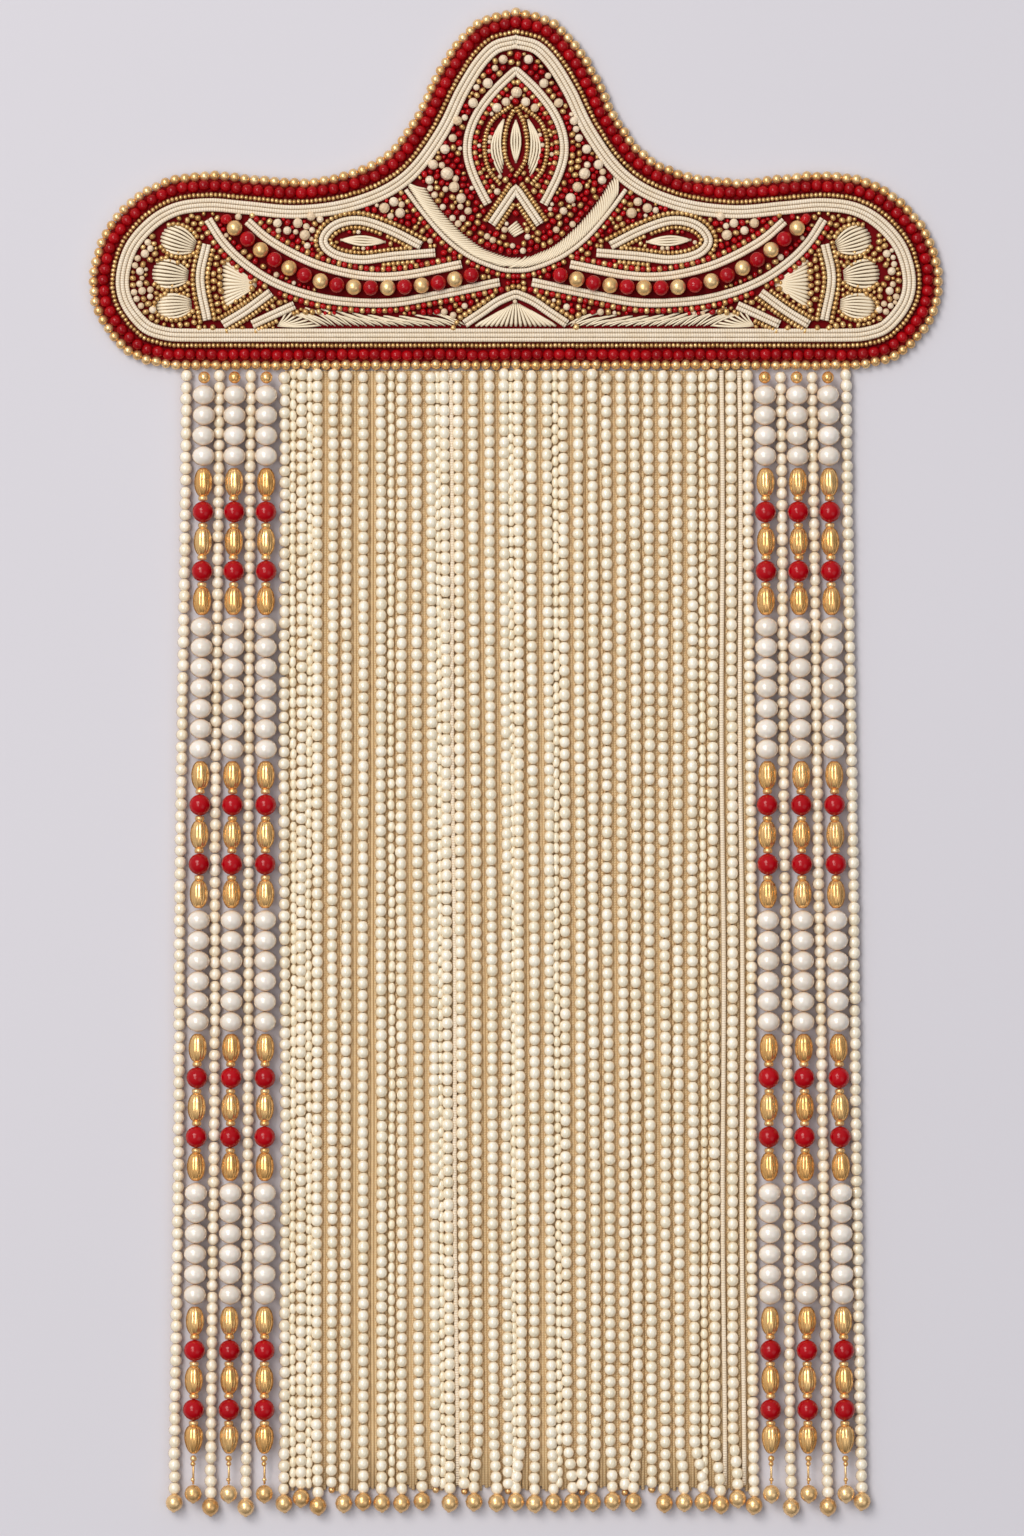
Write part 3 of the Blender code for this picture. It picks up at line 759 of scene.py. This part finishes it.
# Lower bands and centre fan: short slanting stitches of the same silk along the crest's lower edge, and
# stitches that radiate from a point in its middle, over padding too.
FEATHER_ROW = (
    # x, y of the band's upper edge
    (63.0, 13.6), (58.5, 15.4), (50.0, 14.4), (40.0, 13.2), (30.0, 13.0), (22.0, 14.2),
)
for side, word in ((1, "right"), (-1, "left")):
    ridge = in_frame(smoothed([(side * x, y) for x, y in FEATHER_ROW]))
    threads = []
    for index, (point, along) in enumerate(even(ridge, 1.12)):
        a = Vector((point.x + side * 1.2, point.y + 0.9 - 0.45 * (index % 4)))
        b = Vector((point.x - side * 7.4, EDGE_Y + 11.0 + 0.3 * (index % 2)))
        threads.append((stitch(a, b, 0.5 + 0.1 * (index % 4), side * -0.5), 0.38, 0.28))
    for index in range(7):
        a = Vector((side * 68.0, EDGE_Y + 11.0))
        b = Vector((side * (56.0 + 1.5 * index), EDGE_Y + 11.2 + 0.85 * index))
        threads.append((stitch(a, b, 0.6, side * 0.3), 0.24, 0.44))
    stitched(f"{word}_feather_stitches", threads, f"{word}_lobe_motif")
    claim(in_frame([(side * x, 12.2) for x in range(66, 18, -2)]), 1.9)
threads = []
for spread in spreads(17):
    a = Vector((spread * 3.4, EDGE_Y + 17.9 - abs(spread) * 2.0))
    b = Vector((spread * 11.4, EDGE_Y + 11.0))
    threads.append((stitch(a, b, 0.6), 0.26, 0.62))
stitched("centre_fan_stitches", threads, "centre_fan")
claim(in_frame([(-10.0, 12.5), (10.0, 12.5)]), 2.2)
claim(in_frame([(-5.0, 15.5), (5.0, 15.5)]), 2.0)


# Arch ornament: an almond between two crescents in satin stitch, with a small square below them. They
# are worked like the petals, long threads over padding.
threads = []
for spread in spreads(4):
    a = (spread * 0.1, EDGE_Y + 69.8)
    b = (spread * 0.1, EDGE_Y + 57.6)
    threads.append((stitch(a, b, 0.9, -1.35 * spread, 9), 0.4, 0.4))
for side in (1, -1):
    for index in range(4):
        grow = index / 3
        a = (side * (3.4 + 0.1 * grow), EDGE_Y + 70.0)
        b = (side * (3.6 + 0.5 * grow), EDGE_Y + 57.0 - 3.2 * grow)
        threads.append((stitch(a, b, 0.9, side * (1.0 + 2.1 * grow), 9), 0.42, 0.4))
    claim(in_frame([(side * 4.2, 69), (side * 5.6, 62), (side * 4.2, 55.5)]), 1.4)
for index in range(5):
    low = index * 1.05
    a = (-2.5 + low * 0.45, EDGE_Y + 38.4 - low * 0.42)
    b = (0.4 + low * 0.45, EDGE_Y + 40.8 - low * 0.62)
    threads.append((stitch(a, b, 0.7), 0.42, 0.42))
stitched("arch_ornament_stitches", threads, "arch_cord")
claim(in_frame([(0, 58.5), (0, 69)]), 1.7)
claim(in_frame([(0, 36.6), (0, 40.0)]), 2.2)


# Seed bead lines: strings of small cut gold beads that follow the cords, ring the petals and wind
# through the arch ornament. Beside the sweeping cords and the swag, red and gold seeds take turns.
FOLLOWED = (
    # cord, distance to the right of its direction, bead radius, pitch, whether red ones take turns
    ("lower_cords", -2.2, 0.85, 1.6, True),
    ("upper_cords", 2.2, 0.85, 1.6, True),
    ("swag_cord", -1.6, 0.8, 1.55, True),
    ("gable_cords", 2.1, 0.8, 1.05, False),
    ("gable_cords", -2.1, 0.74, 1.05, False),
    ("arch_cords", -2.15, 0.8, 1.5, True),
    ("fan_roof_cords", 2.2, 0.82, 1.55, False),
    ("leaf_rims", 2.15, 0.74, 1.35, False),
    ("leaf_rims", -2.0, 0.66, 1.2, False),
    ("lobe_bars", 2.1, 0.76, 1.35, False),
    ("lobe_bars", -2.1, 0.76, 1.35, False),
    ("long_stems", 2.1, 0.76, 1.1, False),
    ("long_stems", -2.1, 0.76, 1.1, False),
    ("short_stems", -2.1, 0.76, 1.1, False),
)
RIBBONS = (
    ((0.2, 73.2), (2.1, 69.4), (3.1, 65.1), (3.2, 61.0), (2.3, 57.4), (0.0, 53.9)),
    ((1.4, 73.8), (6.4, 70.0), (8.5, 65.8), (8.9, 60.6), (7.6, 55.4), (4.6, 51.6)),
    ((10.5, 65.2), (11.0, 60.2), (9.7, 55.0), (7.2, 51.0)),
)
RIBBON_RADIUS = 0.76
RIBBON_PITCH = 0.98
# Red glass seeds: a little brighter than the rim's beads, with a pinpoint of light on each.
seed_red, _ = bead_finish("red_glass_seed_beads", "860008", "C00812", 0.14, 0.0, 900.0, 0.15, gloss=0.3)
rng = random.Random(5)
gold_places, red_places = [], []


def petal_ring(tip, far, half, clear=0.95):
    """A ring round a petal, this far clear of it."""
    middle = (tip + far) / 2
    along = (far - tip) / 2
    along = along + along.normalized() * clear
    across = Vector((-along.y, along.x)).normalized() * (half + clear)
    turns = [2 * math.pi * step / 24 for step in range(25)]
    return [middle + along * math.cos(turn) + across * math.sin(turn) for turn in turns]


lines = []
for name, distance, radius, pitch, in_turn in FOLLOWED:
    line = [point for point in offset(right_sides[name], distance) if point.x > 0.4]
    lines.append((line, radius, pitch, in_turn))
for points in RIBBONS:
    lines.append((smoothed(points, 8), RIBBON_RADIUS, RIBBON_PITCH, False))
for tip_x, tip_y, far_x, far_y, half in PETALS:
    lines.append((petal_ring(Vector((tip_x, tip_y)), Vector((far_x, far_y)), half), 0.74, 1.35, False))


def is_free(x, y, radius, slack=0.85):
    return all((x - a) ** 2 + (y - b) ** 2 > (slack * (radius + r)) ** 2 for a, b, r in taken)


for line, radius, pitch, in_turn in lines:
    for side in (1, -1):
        placed = []
        for index, (point, along) in enumerate(even(in_frame([(side * p.x, p.y) for p in line]), pitch)):
            if not is_free(point.x, point.y, radius, 0.72):
                continue
            size = (radius * rng.uniform(0.92, 1.08), pitch * 0.62 * rng.uniform(0.9, 1.1))
            turn = math.atan2(along.y, along.x) + rng.uniform(-0.2, 0.2)
            spot = (point.x, point.y, BOARD_TOP + 0.25 + radius * 0.9, turn, size)
            (red_places if in_turn and index % 2 else gold_places).append(spot)
            placed.append((point.x, point.y, radius))
        taken.extend(placed)
threaded("gold_seed_lines", gold_places, seed_bead, seed_gold, "bead_gold")
threaded("red_seed_lines", red_places, seed_bead, seed_red, "bead_red")


# Filled ground: what velvet is left between the motifs is sewn full of red seeds, cut gold beads and
# faceted cream ones, a few of them larger.
FACETED = (
    # x, y, radius of the larger faceted beads at +X and -X
    (3.6, 87.0, 1.4), (8.0, 80.2, 1.45), (12.2, 74.6, 1.4), (16.6, 69.5, 1.3), (18.0, 64.6, 1.25),
    (20.2, 61.4, 1.4), (23.6, 57.0, 1.4), (19.6, 54.4, 1.8), (17.6, 50.6, 1.5), (15.6, 47.4, 1.5),
    (24.6, 52.6, 1.3), (13.6, 43.8, 1.2), (2.8, 74.9, 1.35), (5.4, 73.2, 1.35), (68.0, 40.3, 1.4),
    (65.2, 38.2, 1.3), (62.2, 40.3, 1.4), (60.2, 36.9, 1.6), (58.4, 42.2, 1.3), (37.5, 44.6, 1.5),
    (34.8, 46.4, 1.35), (33.0, 43.2, 1.5), (105.8, 31.6, 1.2), (107.2, 26.6, 1.25), (106.6, 21.0, 1.2),
    (103.6, 15.6, 1.1),
)
# Faceted cream glass with a faint gold lustre: flat cuts that flash one by one.
cream_cut, _ = bead_finish("cream_faceted_beads", "D6B488", "FCEBD2", 0.2, 0.1, 1200.0, 0.4, coat=0.6)
cut_bead = turned("cut_bead", round_profile(1.0, 5, 0.35), 9)
for polygon in cut_bead.data.polygons:
    polygon.use_smooth = False
FILL_INSET = 10.4
FILL_STEP = 0.33
FILL_SIZES = (
    # bead radius, least distance to another bead as a share of the two radii
    (0.98, 0.96),
    (0.82, 0.95),
    (0.66, 0.9),
)
CELL = 5
inner = in_frame(crest_loop(FILL_INSET))
box_low = (min(p.x for p in inner), min(p.y for p in inner))
box_high = (max(p.x for p in inner), max(p.y for p in inner))


def inside(x, y):
    hit = False
    for a, b in zip(inner, inner[1:] + inner[:1]):
        if (a.y > y) != (b.y > y) and x < (b.x - a.x) * (y - a.y) / (b.y - a.y) + a.x:
            hit = not hit
    return hit


cells = {}


def crowd(x, y, radius):
    cells.setdefault((int(x // CELL), int(y // CELL)), []).append((x, y, radius))


def has_room(x, y, radius, slack):
    column, row = int(x // CELL), int(y // CELL)
    for i in (column - 1, column, column + 1):
        for j in (row - 1, row, row + 1):
            for a, b, r in cells.get((i, j), ()):
                if (x - a) ** 2 + (y - b) ** 2 < (slack * (radius + r)) ** 2:
                    return False
    return True


for spot in taken:
    crowd(*spot)
for point in crest_loop(FILL_INSET - 0.3):
    crowd(point.x, point.y + EDGE_Y, 0.2)
fills = {"gold": [], "red": [], "cream": []}
rng = random.Random(23)


def sewn(kind, x, y, radius):
    crowd(x, y, radius)
    height = BOARD_TOP + 0.2 + radius * 0.85
    fills[kind].append((x, y, height, rng.uniform(0, math.pi), radius * rng.uniform(0.92, 1.05)))


sewn("cream", 0.2, EDGE_Y + 77.6, 1.55)
sewn("red", 0.6, EDGE_Y + 88.0, 1.35)
for side in (1, -1):
    for x, y, radius in FACETED:
        sewn("cream", side * x, EDGE_Y + y, radius)
    sewn("red", side * 82.6, EDGE_Y + 41.4, 1.7)
for radius, slack in FILL_SIZES:
    for row in range(round((box_high[1] - box_low[1]) / FILL_STEP)):
        for column in range(round((box_high[0] - box_low[0]) / FILL_STEP)):
            x = box_low[0] + FILL_STEP * column + rng.uniform(-0.1, 0.1)
            y = box_low[1] + FILL_STEP * row + rng.uniform(-0.1, 0.1)
            if not has_room(x, y, radius, slack) or not inside(x, y):
                continue
            height = y - EDGE_Y
            lobe_end = abs(x) > 85 or (abs(x) > 60 and height < 18 + 0.5 * (abs(x) - 60))
            if lobe_end:
                kind = "cream" if abs(x) > 104 and rng.random() < 0.6 else "gold"
            else:
                kind = rng.choice(("red", "red", "red", "gold", "gold", "cream"))
            sewn(kind, x, y, radius)
threaded("gold_filling_beads", fills["gold"], seed_bead, seed_gold, "bead_gold")
threaded("red_filling_beads", fills["red"], seed_bead, seed_red, "bead_red")
threaded("cream_filling_beads", fills["cream"], cut_bead, cream_cut, "pearl_cream")


# Curtain: strings of small cream pearls knotted under the crest's straight edge. Most end in a satin
# gold bead, and those without room for one in a small gold bead behind its neighbours.
STRING_TOP = EDGE_Y - 1.6
STRING_Z = 1.76
PEARL_RADIUS = 1.76
PEARL_PITCH = 3.27
END_RADIUS = 2.5
END_Y = -210.7
BEND_LENGTH = 15.0
STRING_ENDS = (
    # upper x, lower x, x of its end bead
    (-94.0, -97.6, -97.5),
    (-84.6, -87.2, -87.2),
    (-75.7, -77.1, -77.1),
    (-66.0, -66.0, -66.2),
    (-61.1, -61.4, -61.3),
    (-56.6, -56.9, -56.5),
    (-52.1, -52.6, None),
    (-48.3, -48.6, -49.1),
    (-43.6, -43.6, -43.6),
    (-38.6, -38.3, -38.3),
    (-32.6, -32.6, -32.6),
    (-28.4, -27.7, -26.8),
    (-24.3, -22.9, None),
    (-20.5, -18.8, -18.8),
    (-16.7, -14.7, None),
    (-12.3, -10.6, -11.9),
    (-7.7, -6.2, -5.5),
    (-3.4, -2.2, None),
    (0.5, 1.6, 0.0),
    (4.4, 5.6, 5.3),
    (8.8, 10.2, 10.8),
    (13.4, 14.7, 16.2),
    (17.7, 18.9, None),
    (21.7, 22.9, 21.9),
    (25.7, 27.0, 27.6),
    (29.9, 31.1, None),
    (33.8, 34.9, 33.6),
    (37.7, 38.8, None),
    (42.0, 42.8, 42.4),
    (45.9, 46.8, 48.0),
    (50.1, 51.0, 53.4),
    (56.0, 56.9, 58.5),
    (61.4, 62.1, 63.3),
    (66.2, 67.9, 68.0),
    (75.6, 78.5, 78.6),
    (84.5, 89.0, 89.1),
    (94.2, 98.6, 98.8),
)
# Imitation pearl: a clear glossy coat on cream glass, so a small sharp light on a soft body. Each pearl's
# lower sides carry painted warm shade.
cream_pearl, shader = bead_finish(
    "cream_pearl_coat", "E6D7B6", "FBF2E0", 0.2, 0.0, 600.0, 0.22, coat=1.0, gloss=1.0
)


def paint_warm_shade_low(tree, shader, low, high, warm):
    """Paints the coat's colour warmer and darker where a pearl's sides turn down, between two heights:
    painted warm shade.
    """
    coated = shader.inputs["Base Color"].links[0].from_socket
    coordinates = add_node(tree, "ShaderNodeTexCoord")
    spread = add_node(tree, "ShaderNodeSeparateXYZ", Vector=coordinates.outputs["Object"])
    raised = add_node(
        tree, "ShaderNodeMapRange", Value=spread.outputs["Z"], From_Min=low * MM, From_Max=high * MM
    )
    warmed = add_node(tree, *COLOUR_MIX, Factor=raised.outputs[0], _6=srgb(warm), _7=coated)
    tree.links.new(warmed.outputs[2], shader.inputs["Base Color"])


paint_warm_shade_low(cream_pearl.node_tree, shader, 1.2, 3.0, "DEB06C")
string_pearl = turned("string_pearl", round_profile(1.0, 5, 0.5, 1.08), 10)
END_PROFILE = (
    (0.16, -1.12), (0.24, -1.0), (0.56, -0.84), (0.87, -0.5), (1.0, 0.0), (0.87, 0.5), (0.56, 0.84),
    (0.2, 1.0),
)
end_bead = turned("end_bead", END_PROFILE, 16)


def string_places(upper_x, lower_x, end_x, lowest, radius, pitch, height, rng, stretch=1.0):
    """Places of the pearls of one string, which sways a little and bends to its end bead."""
    places = []
    phase, sway = rng.uniform(0, 6.28), rng.uniform(0.1, 0.3)
    top = STRING_TOP + rng.uniform(-0.5, 0.4)
    count = round((top - lowest) / (pitch * rng.uniform(0.96, 1.03)))
    for index in range(count):
        y = lowest + (index + 0.5) * (top - lowest) / count + rng.uniform(-0.15, 0.15)
        along = (top - y) / (top - lowest)
        bend = min(1.0, max(0.0, 1.0 - (y - lowest - radius) / BEND_LENGTH))
        bend = bend * bend * (3 - 2 * bend)
        x = upper_x + (lower_x - upper_x) * along
        x += sway * math.sin(phase + along * 9.0) * math.sin(math.pi * along)
        x += (end_x - lower_x) * bend + rng.uniform(-0.08, 0.08)
        wide, long = rng.uniform(0.93, 1.04), rng.uniform(0.92, 1.04) * stretch
        places.append((x, y, height, math.pi / 2 + rng.uniform(-0.08, 0.08), (radius * wide, radius * long)))
    return places


rng = random.Random(41)
end_places, knot_places = [], []
last_x, last_y = -200.0, END_Y
for number, (upper_x, lower_x, end_x) in enumerate(STRING_ENDS, 1):
    if end_x is None:
        lowest = END_Y + rng.uniform(3.2, 4.6)
        knot_places.append((lower_x, lowest - 0.7, 1.1, math.pi / 2, 1.0))
        end_x = lower_x
    else:
        end_y = END_Y - (1.6 if 70 < abs(end_x) < 95 else 0.0) + rng.uniform(-0.4, 0.4)
        if end_x - last_x < 5.2:
            end_y += 0.9 if last_y < END_Y else -0.9
        last_x, last_y = end_x, end_y
        lowest = end_y + END_RADIUS - 0.15
        turn = math.pi / 2 + rng.uniform(-0.15, 0.15)
        end_places.append((end_x, end_y, END_RADIUS + 0.05, turn, END_RADIUS))
    places = string_places(upper_x, lower_x, end_x, lowest, PEARL_RADIUS, PEARL_PITCH, STRING_Z, rng)
    node = f"pearl_string_{number:02d}"
    threaded(f"string_{number:02d}", places, string_pearl, cream_pearl, "pearl_cream", node)
threaded("gold_end_beads", end_places, end_bead, satin_gold, "bead_gold")
threaded("small_gold_ends", knot_places, round_bead, satin_gold, "bead_gold")


# Under strings: finer, longer pearls half hidden between some of the main strings, and three thin
# wound cords in other gaps, all knotted to the crest's straight edge.
UNDER_AFTER = (4, 5, 10, 13, 18, 21, 31)
CORD_AFTER = (14, 32, 33)
UNDER_RADIUS = 1.15
UNDER_PITCH = 3.0
UNDER_STRETCH = 1.36
UNDER_Z = 1.55
THIN_CORD_RADIUS = 0.72
CORD_STEPS = 29
# The same pearl coat, a little duller and warmer on these finer pearls, with painted warm shade on their
# lower sides.
fine_cream, shader = bead_finish(
    "fine_pearl_coat", "E6D4AE", "F8EDD6", 0.25, 0.0, 700.0, 0.25, coat=0.8, gloss=0.8
)
paint_warm_shade_low(fine_cream.node_tree, shader, 0.9, 2.2, "DCB070")
fine_pearl = turned("fine_pearl", round_profile(1.0, 5, 0.45, 1.08), 10)
under_places = []
rng = random.Random(17)


def gap_x(number, down):
    """The middle between a string and the next one, at a share of the way down."""
    (a_top, a_low, _), (b_top, b_low, _) = STRING_ENDS[number - 1 : number + 1]
    return (a_top + b_top) / 2 * (1 - down) + (a_low + b_low) / 2 * down


for number in UNDER_AFTER:
    low_x = gap_x(number, 1)
    under_places += string_places(
        gap_x(number, 0), low_x, low_x, END_Y + 4.0, UNDER_RADIUS, UNDER_PITCH, UNDER_Z, rng, UNDER_STRETCH
    )
threaded("under_strings", under_places, fine_pearl, fine_cream, "pearl_cream")
paths = []
for number in CORD_AFTER:
    line = []
    for step in range(CORD_STEPS + 1):
        t = step / CORD_STEPS
        x = gap_x(number, t) + 0.25 * math.sin(step * 0.5)
        line.append(Vector((x, STRING_TOP + (END_Y + 5.0 - STRING_TOP) * t, UNDER_Z)))
    paths.append(line)
cord_piece("thin_cords", paths, [THIN_CORD_RADIUS] * len(paths), wound_cord, "cord_cream")


# Back threads: bare tan linen threads that fill the gaps behind the pearl strings. They lie side by side
# and are knotted to the crest's straight edge like the strings. They stand partly for thin strings behind the
# curtain and partly for the warm shade in the gaps, as a tan layer of painted shade.
THREAD_RADIUS = 0.52
THREAD_PITCH = 1.0
THREAD_STEPS = 23
WIDEST_GAP = 7.0
# Undyed linen: dull, with a slant of twist drawn every 0.7 mm, coarser than the real one, to show. Its tan is
# partly painted shade of the gaps.
tan_thread, tree, shader = new_finish("tan_thread_painted_gap_shade", 0.8)
uv_node = add_node(tree, "ShaderNodeUVMap", {"uv_map": "UVMap"})
twist = add_node(
    tree,
    "ShaderNodeTexWave",
    {"bands_direction": "DIAGONAL"},
    Vector=uv_node.outputs["UV"],
    Scale=0.9,
    Distortion=1.0,
)
tint = add_node(tree, *COLOUR_MIX, Factor=twist.outputs["Fac"], _6=srgb("C6A676"), _7=srgb("E2CA9E"))
tree.links.new(tint.outputs[2], shader.inputs["Base Color"])
bump = add_node(tree, "ShaderNodeBump", Height=twist.outputs["Fac"], Strength=0.2, Distance=0.0001)
tree.links.new(bump.outputs["Normal"], shader.inputs["Normal"])
rng = random.Random(8)
paths = []
for number in range(1, len(STRING_ENDS)):
    a_top = STRING_ENDS[number - 1][0]
    gap = STRING_ENDS[number][0] - a_top
    if gap > WIDEST_GAP:
        continue
    count = math.ceil(gap / THREAD_PITCH)
    for index in range(count):
        aside = (index - (count - 1) / 2) * gap / count
        end_y = END_Y + rng.uniform(3.0, 5.0)
        line = []
        for step in range(THREAD_STEPS + 1):
            t = step / THREAD_STEPS
            x = gap_x(number, t) + aside + 0.08 * math.sin(step * 0.9 + a_top)
            line.append(Vector((x, STRING_TOP + (end_y - STRING_TOP) * t, THREAD_RADIUS + 0.02)))
        paths.append(line)
cord_piece("back_threads", paths, [THREAD_RADIUS] * len(paths), tan_thread, "cord_cream", sides=6)


# Side strands: three at each side, of large ivory pearls in runs, with fluted gold ovals and red
# beads in turn between them, thin gold spacers, and a gold end bead on a short gold thread.
STRAND_Z = 3.8
STRAND_ENDS = (
    # node, upper x, lower x
    ("left_strand_outer", -88.9, -92.2),
    ("left_strand_middle", -80.2, -82.0),
    ("left_strand_inner", -71.2, -71.8),
    ("right_strand_inner", 71.0, 72.9),
    ("right_strand_middle", 80.1, 83.6),
    ("right_strand_outer", 88.9, 94.3),
)
STRAND_LOW_Y = -215.0
GOLD_RUN = ("oval", "ruby", "oval", "ruby", "oval")
STRAND_ORDER = ["cap", *["pearl"] * 4]
for pearls in (7, 6, 6):
    STRAND_ORDER += [*GOLD_RUN, *["pearl"] * pearls]
STRAND_ORDER += [*GOLD_RUN[:4], "teardrop"]
STRAND_LENGTHS = {"cap": 4.2, "pearl": 5.8, "oval": 9.2, "ruby": 7.7, "teardrop": 9.2}
# Large imitation pearls: whiter and smoother than the strings', with a faint glow inside the coat, and
# painted warm shade on their lower sides.
ivory_pearl, shader = bead_finish(
    "ivory_pearl_coat", "DFD2C1", "F0E7DC", 0.22, 0.0, 300.0, 0.03, coat=1.0, gloss=0.9
)
paint_warm_shade_low(ivory_pearl.node_tree, shader, 3.4, 5.8, "D8A76A")
shader.inputs["Subsurface Weight"].default_value = 0.1
shader.inputs["Subsurface Radius"].default_value = (1.0, 0.7, 0.45)
shader.inputs["Subsurface Scale"].default_value = 1.5 * MM
OVAL_RADIUS = 2.6
OVAL_HALF = 4.05
OVAL_END_TURN = 0.3
OVAL_TURN = 2.54
OVAL_FLUTES = (30, 10, 0.2)
oval_profile = []
for step in range(10):
    angle = OVAL_END_TURN + OVAL_TURN * step / 9
    along = -OVAL_HALF * math.cos(angle) / math.cos(OVAL_END_TURN)
    oval_profile.append((OVAL_RADIUS * math.sin(angle) ** 0.85, along))
teardrop_profile = [(wide * (1.02 + 0.18 * along / 4.15), along) for wide, along in oval_profile]
SPACER_PROFILE = ((0.5, -0.8), (1.2, -0.62), (1.38, 0.0), (1.2, 0.62), (0.5, 0.8))
# Polished gold plate: long narrow lights down the flutes. Polished red glass: one sharp light.
melon_gold, _ = bead_finish("polished_gold_ovals", "ECAC5C", "FFD594", 0.2, 0.8, 500.0, 0.06)
ruby_red, _ = bead_finish("glossy_ruby_red_beads", "9A000A", "B20010", 0.1, 0.0, 300.0, 0.03, gloss=0.28)
BEAD_KINDS = {
    # kind: pattern, finish
    "cap": (turned("cap_bead", round_profile(1.75, 8), 14), melon_gold),
    "pearl": (turned("large_pearl", round_profile(3.24, 10, 0.14, 0.9), 16), ivory_pearl),
    "oval": (turned("fluted_oval", oval_profile, *OVAL_FLUTES), melon_gold),
    "teardrop": (turned("fluted_teardrop", teardrop_profile, *OVAL_FLUTES), melon_gold),
    "ruby": (turned("red_round", round_profile(3.05, 10, 0.14), 16), ruby_red),
    "spacer": (turned("spacer", SPACER_PROFILE, 12), satin_gold),
    "drop": (end_bead, satin_gold),
    "knot": (round_bead, satin_gold),
    "link": (turned("gold_thread", ((0.32, -3.4), (0.32, 3.4)), 8), satin_gold),
}
for node, upper_x, lower_x in STRAND_ENDS:
    places = {kind: [] for kind in BEAD_KINDS}
    y = STRING_TOP
    slope = (lower_x - upper_x) / (STRING_TOP - STRAND_LOW_Y)
    turn = math.atan2(-1.0, slope)
    rng = random.Random(node)

    def at(kind, where, size=1.0):
        x = upper_x + slope * (STRING_TOP - where) + rng.uniform(-0.08, 0.08)
        places[kind].append((x, where, STRAND_Z, turn + math.pi, size))

    before = None
    for kind in STRAND_ORDER:
        if before in ("oval", "ruby") and kind != "pearl":
            at("spacer", y)
        at(kind, y - STRAND_LENGTHS[kind] / 2)
        y -= STRAND_LENGTHS[kind]
        before = kind
    at("knot", y - 0.9, 0.95)
    at("knot", y - 2.4, 0.75)
    at("link", y - 4.8)
    at("knot", y - 6.9, 0.62)
    at("drop", y - 10.9, END_RADIUS)
    for kind, (pattern, finish) in BEAD_KINDS.items():
        slot = "pearl_ivory" if kind == "pearl" else "bead_gold"
        threaded(f"{node}_{kind}s", places[kind], pattern, finish, slot, node)

for pattern in list(PATTERNS.objects):
    bpy.data.objects.remove(pattern)
bpy.data.collections.remove(PATTERNS)
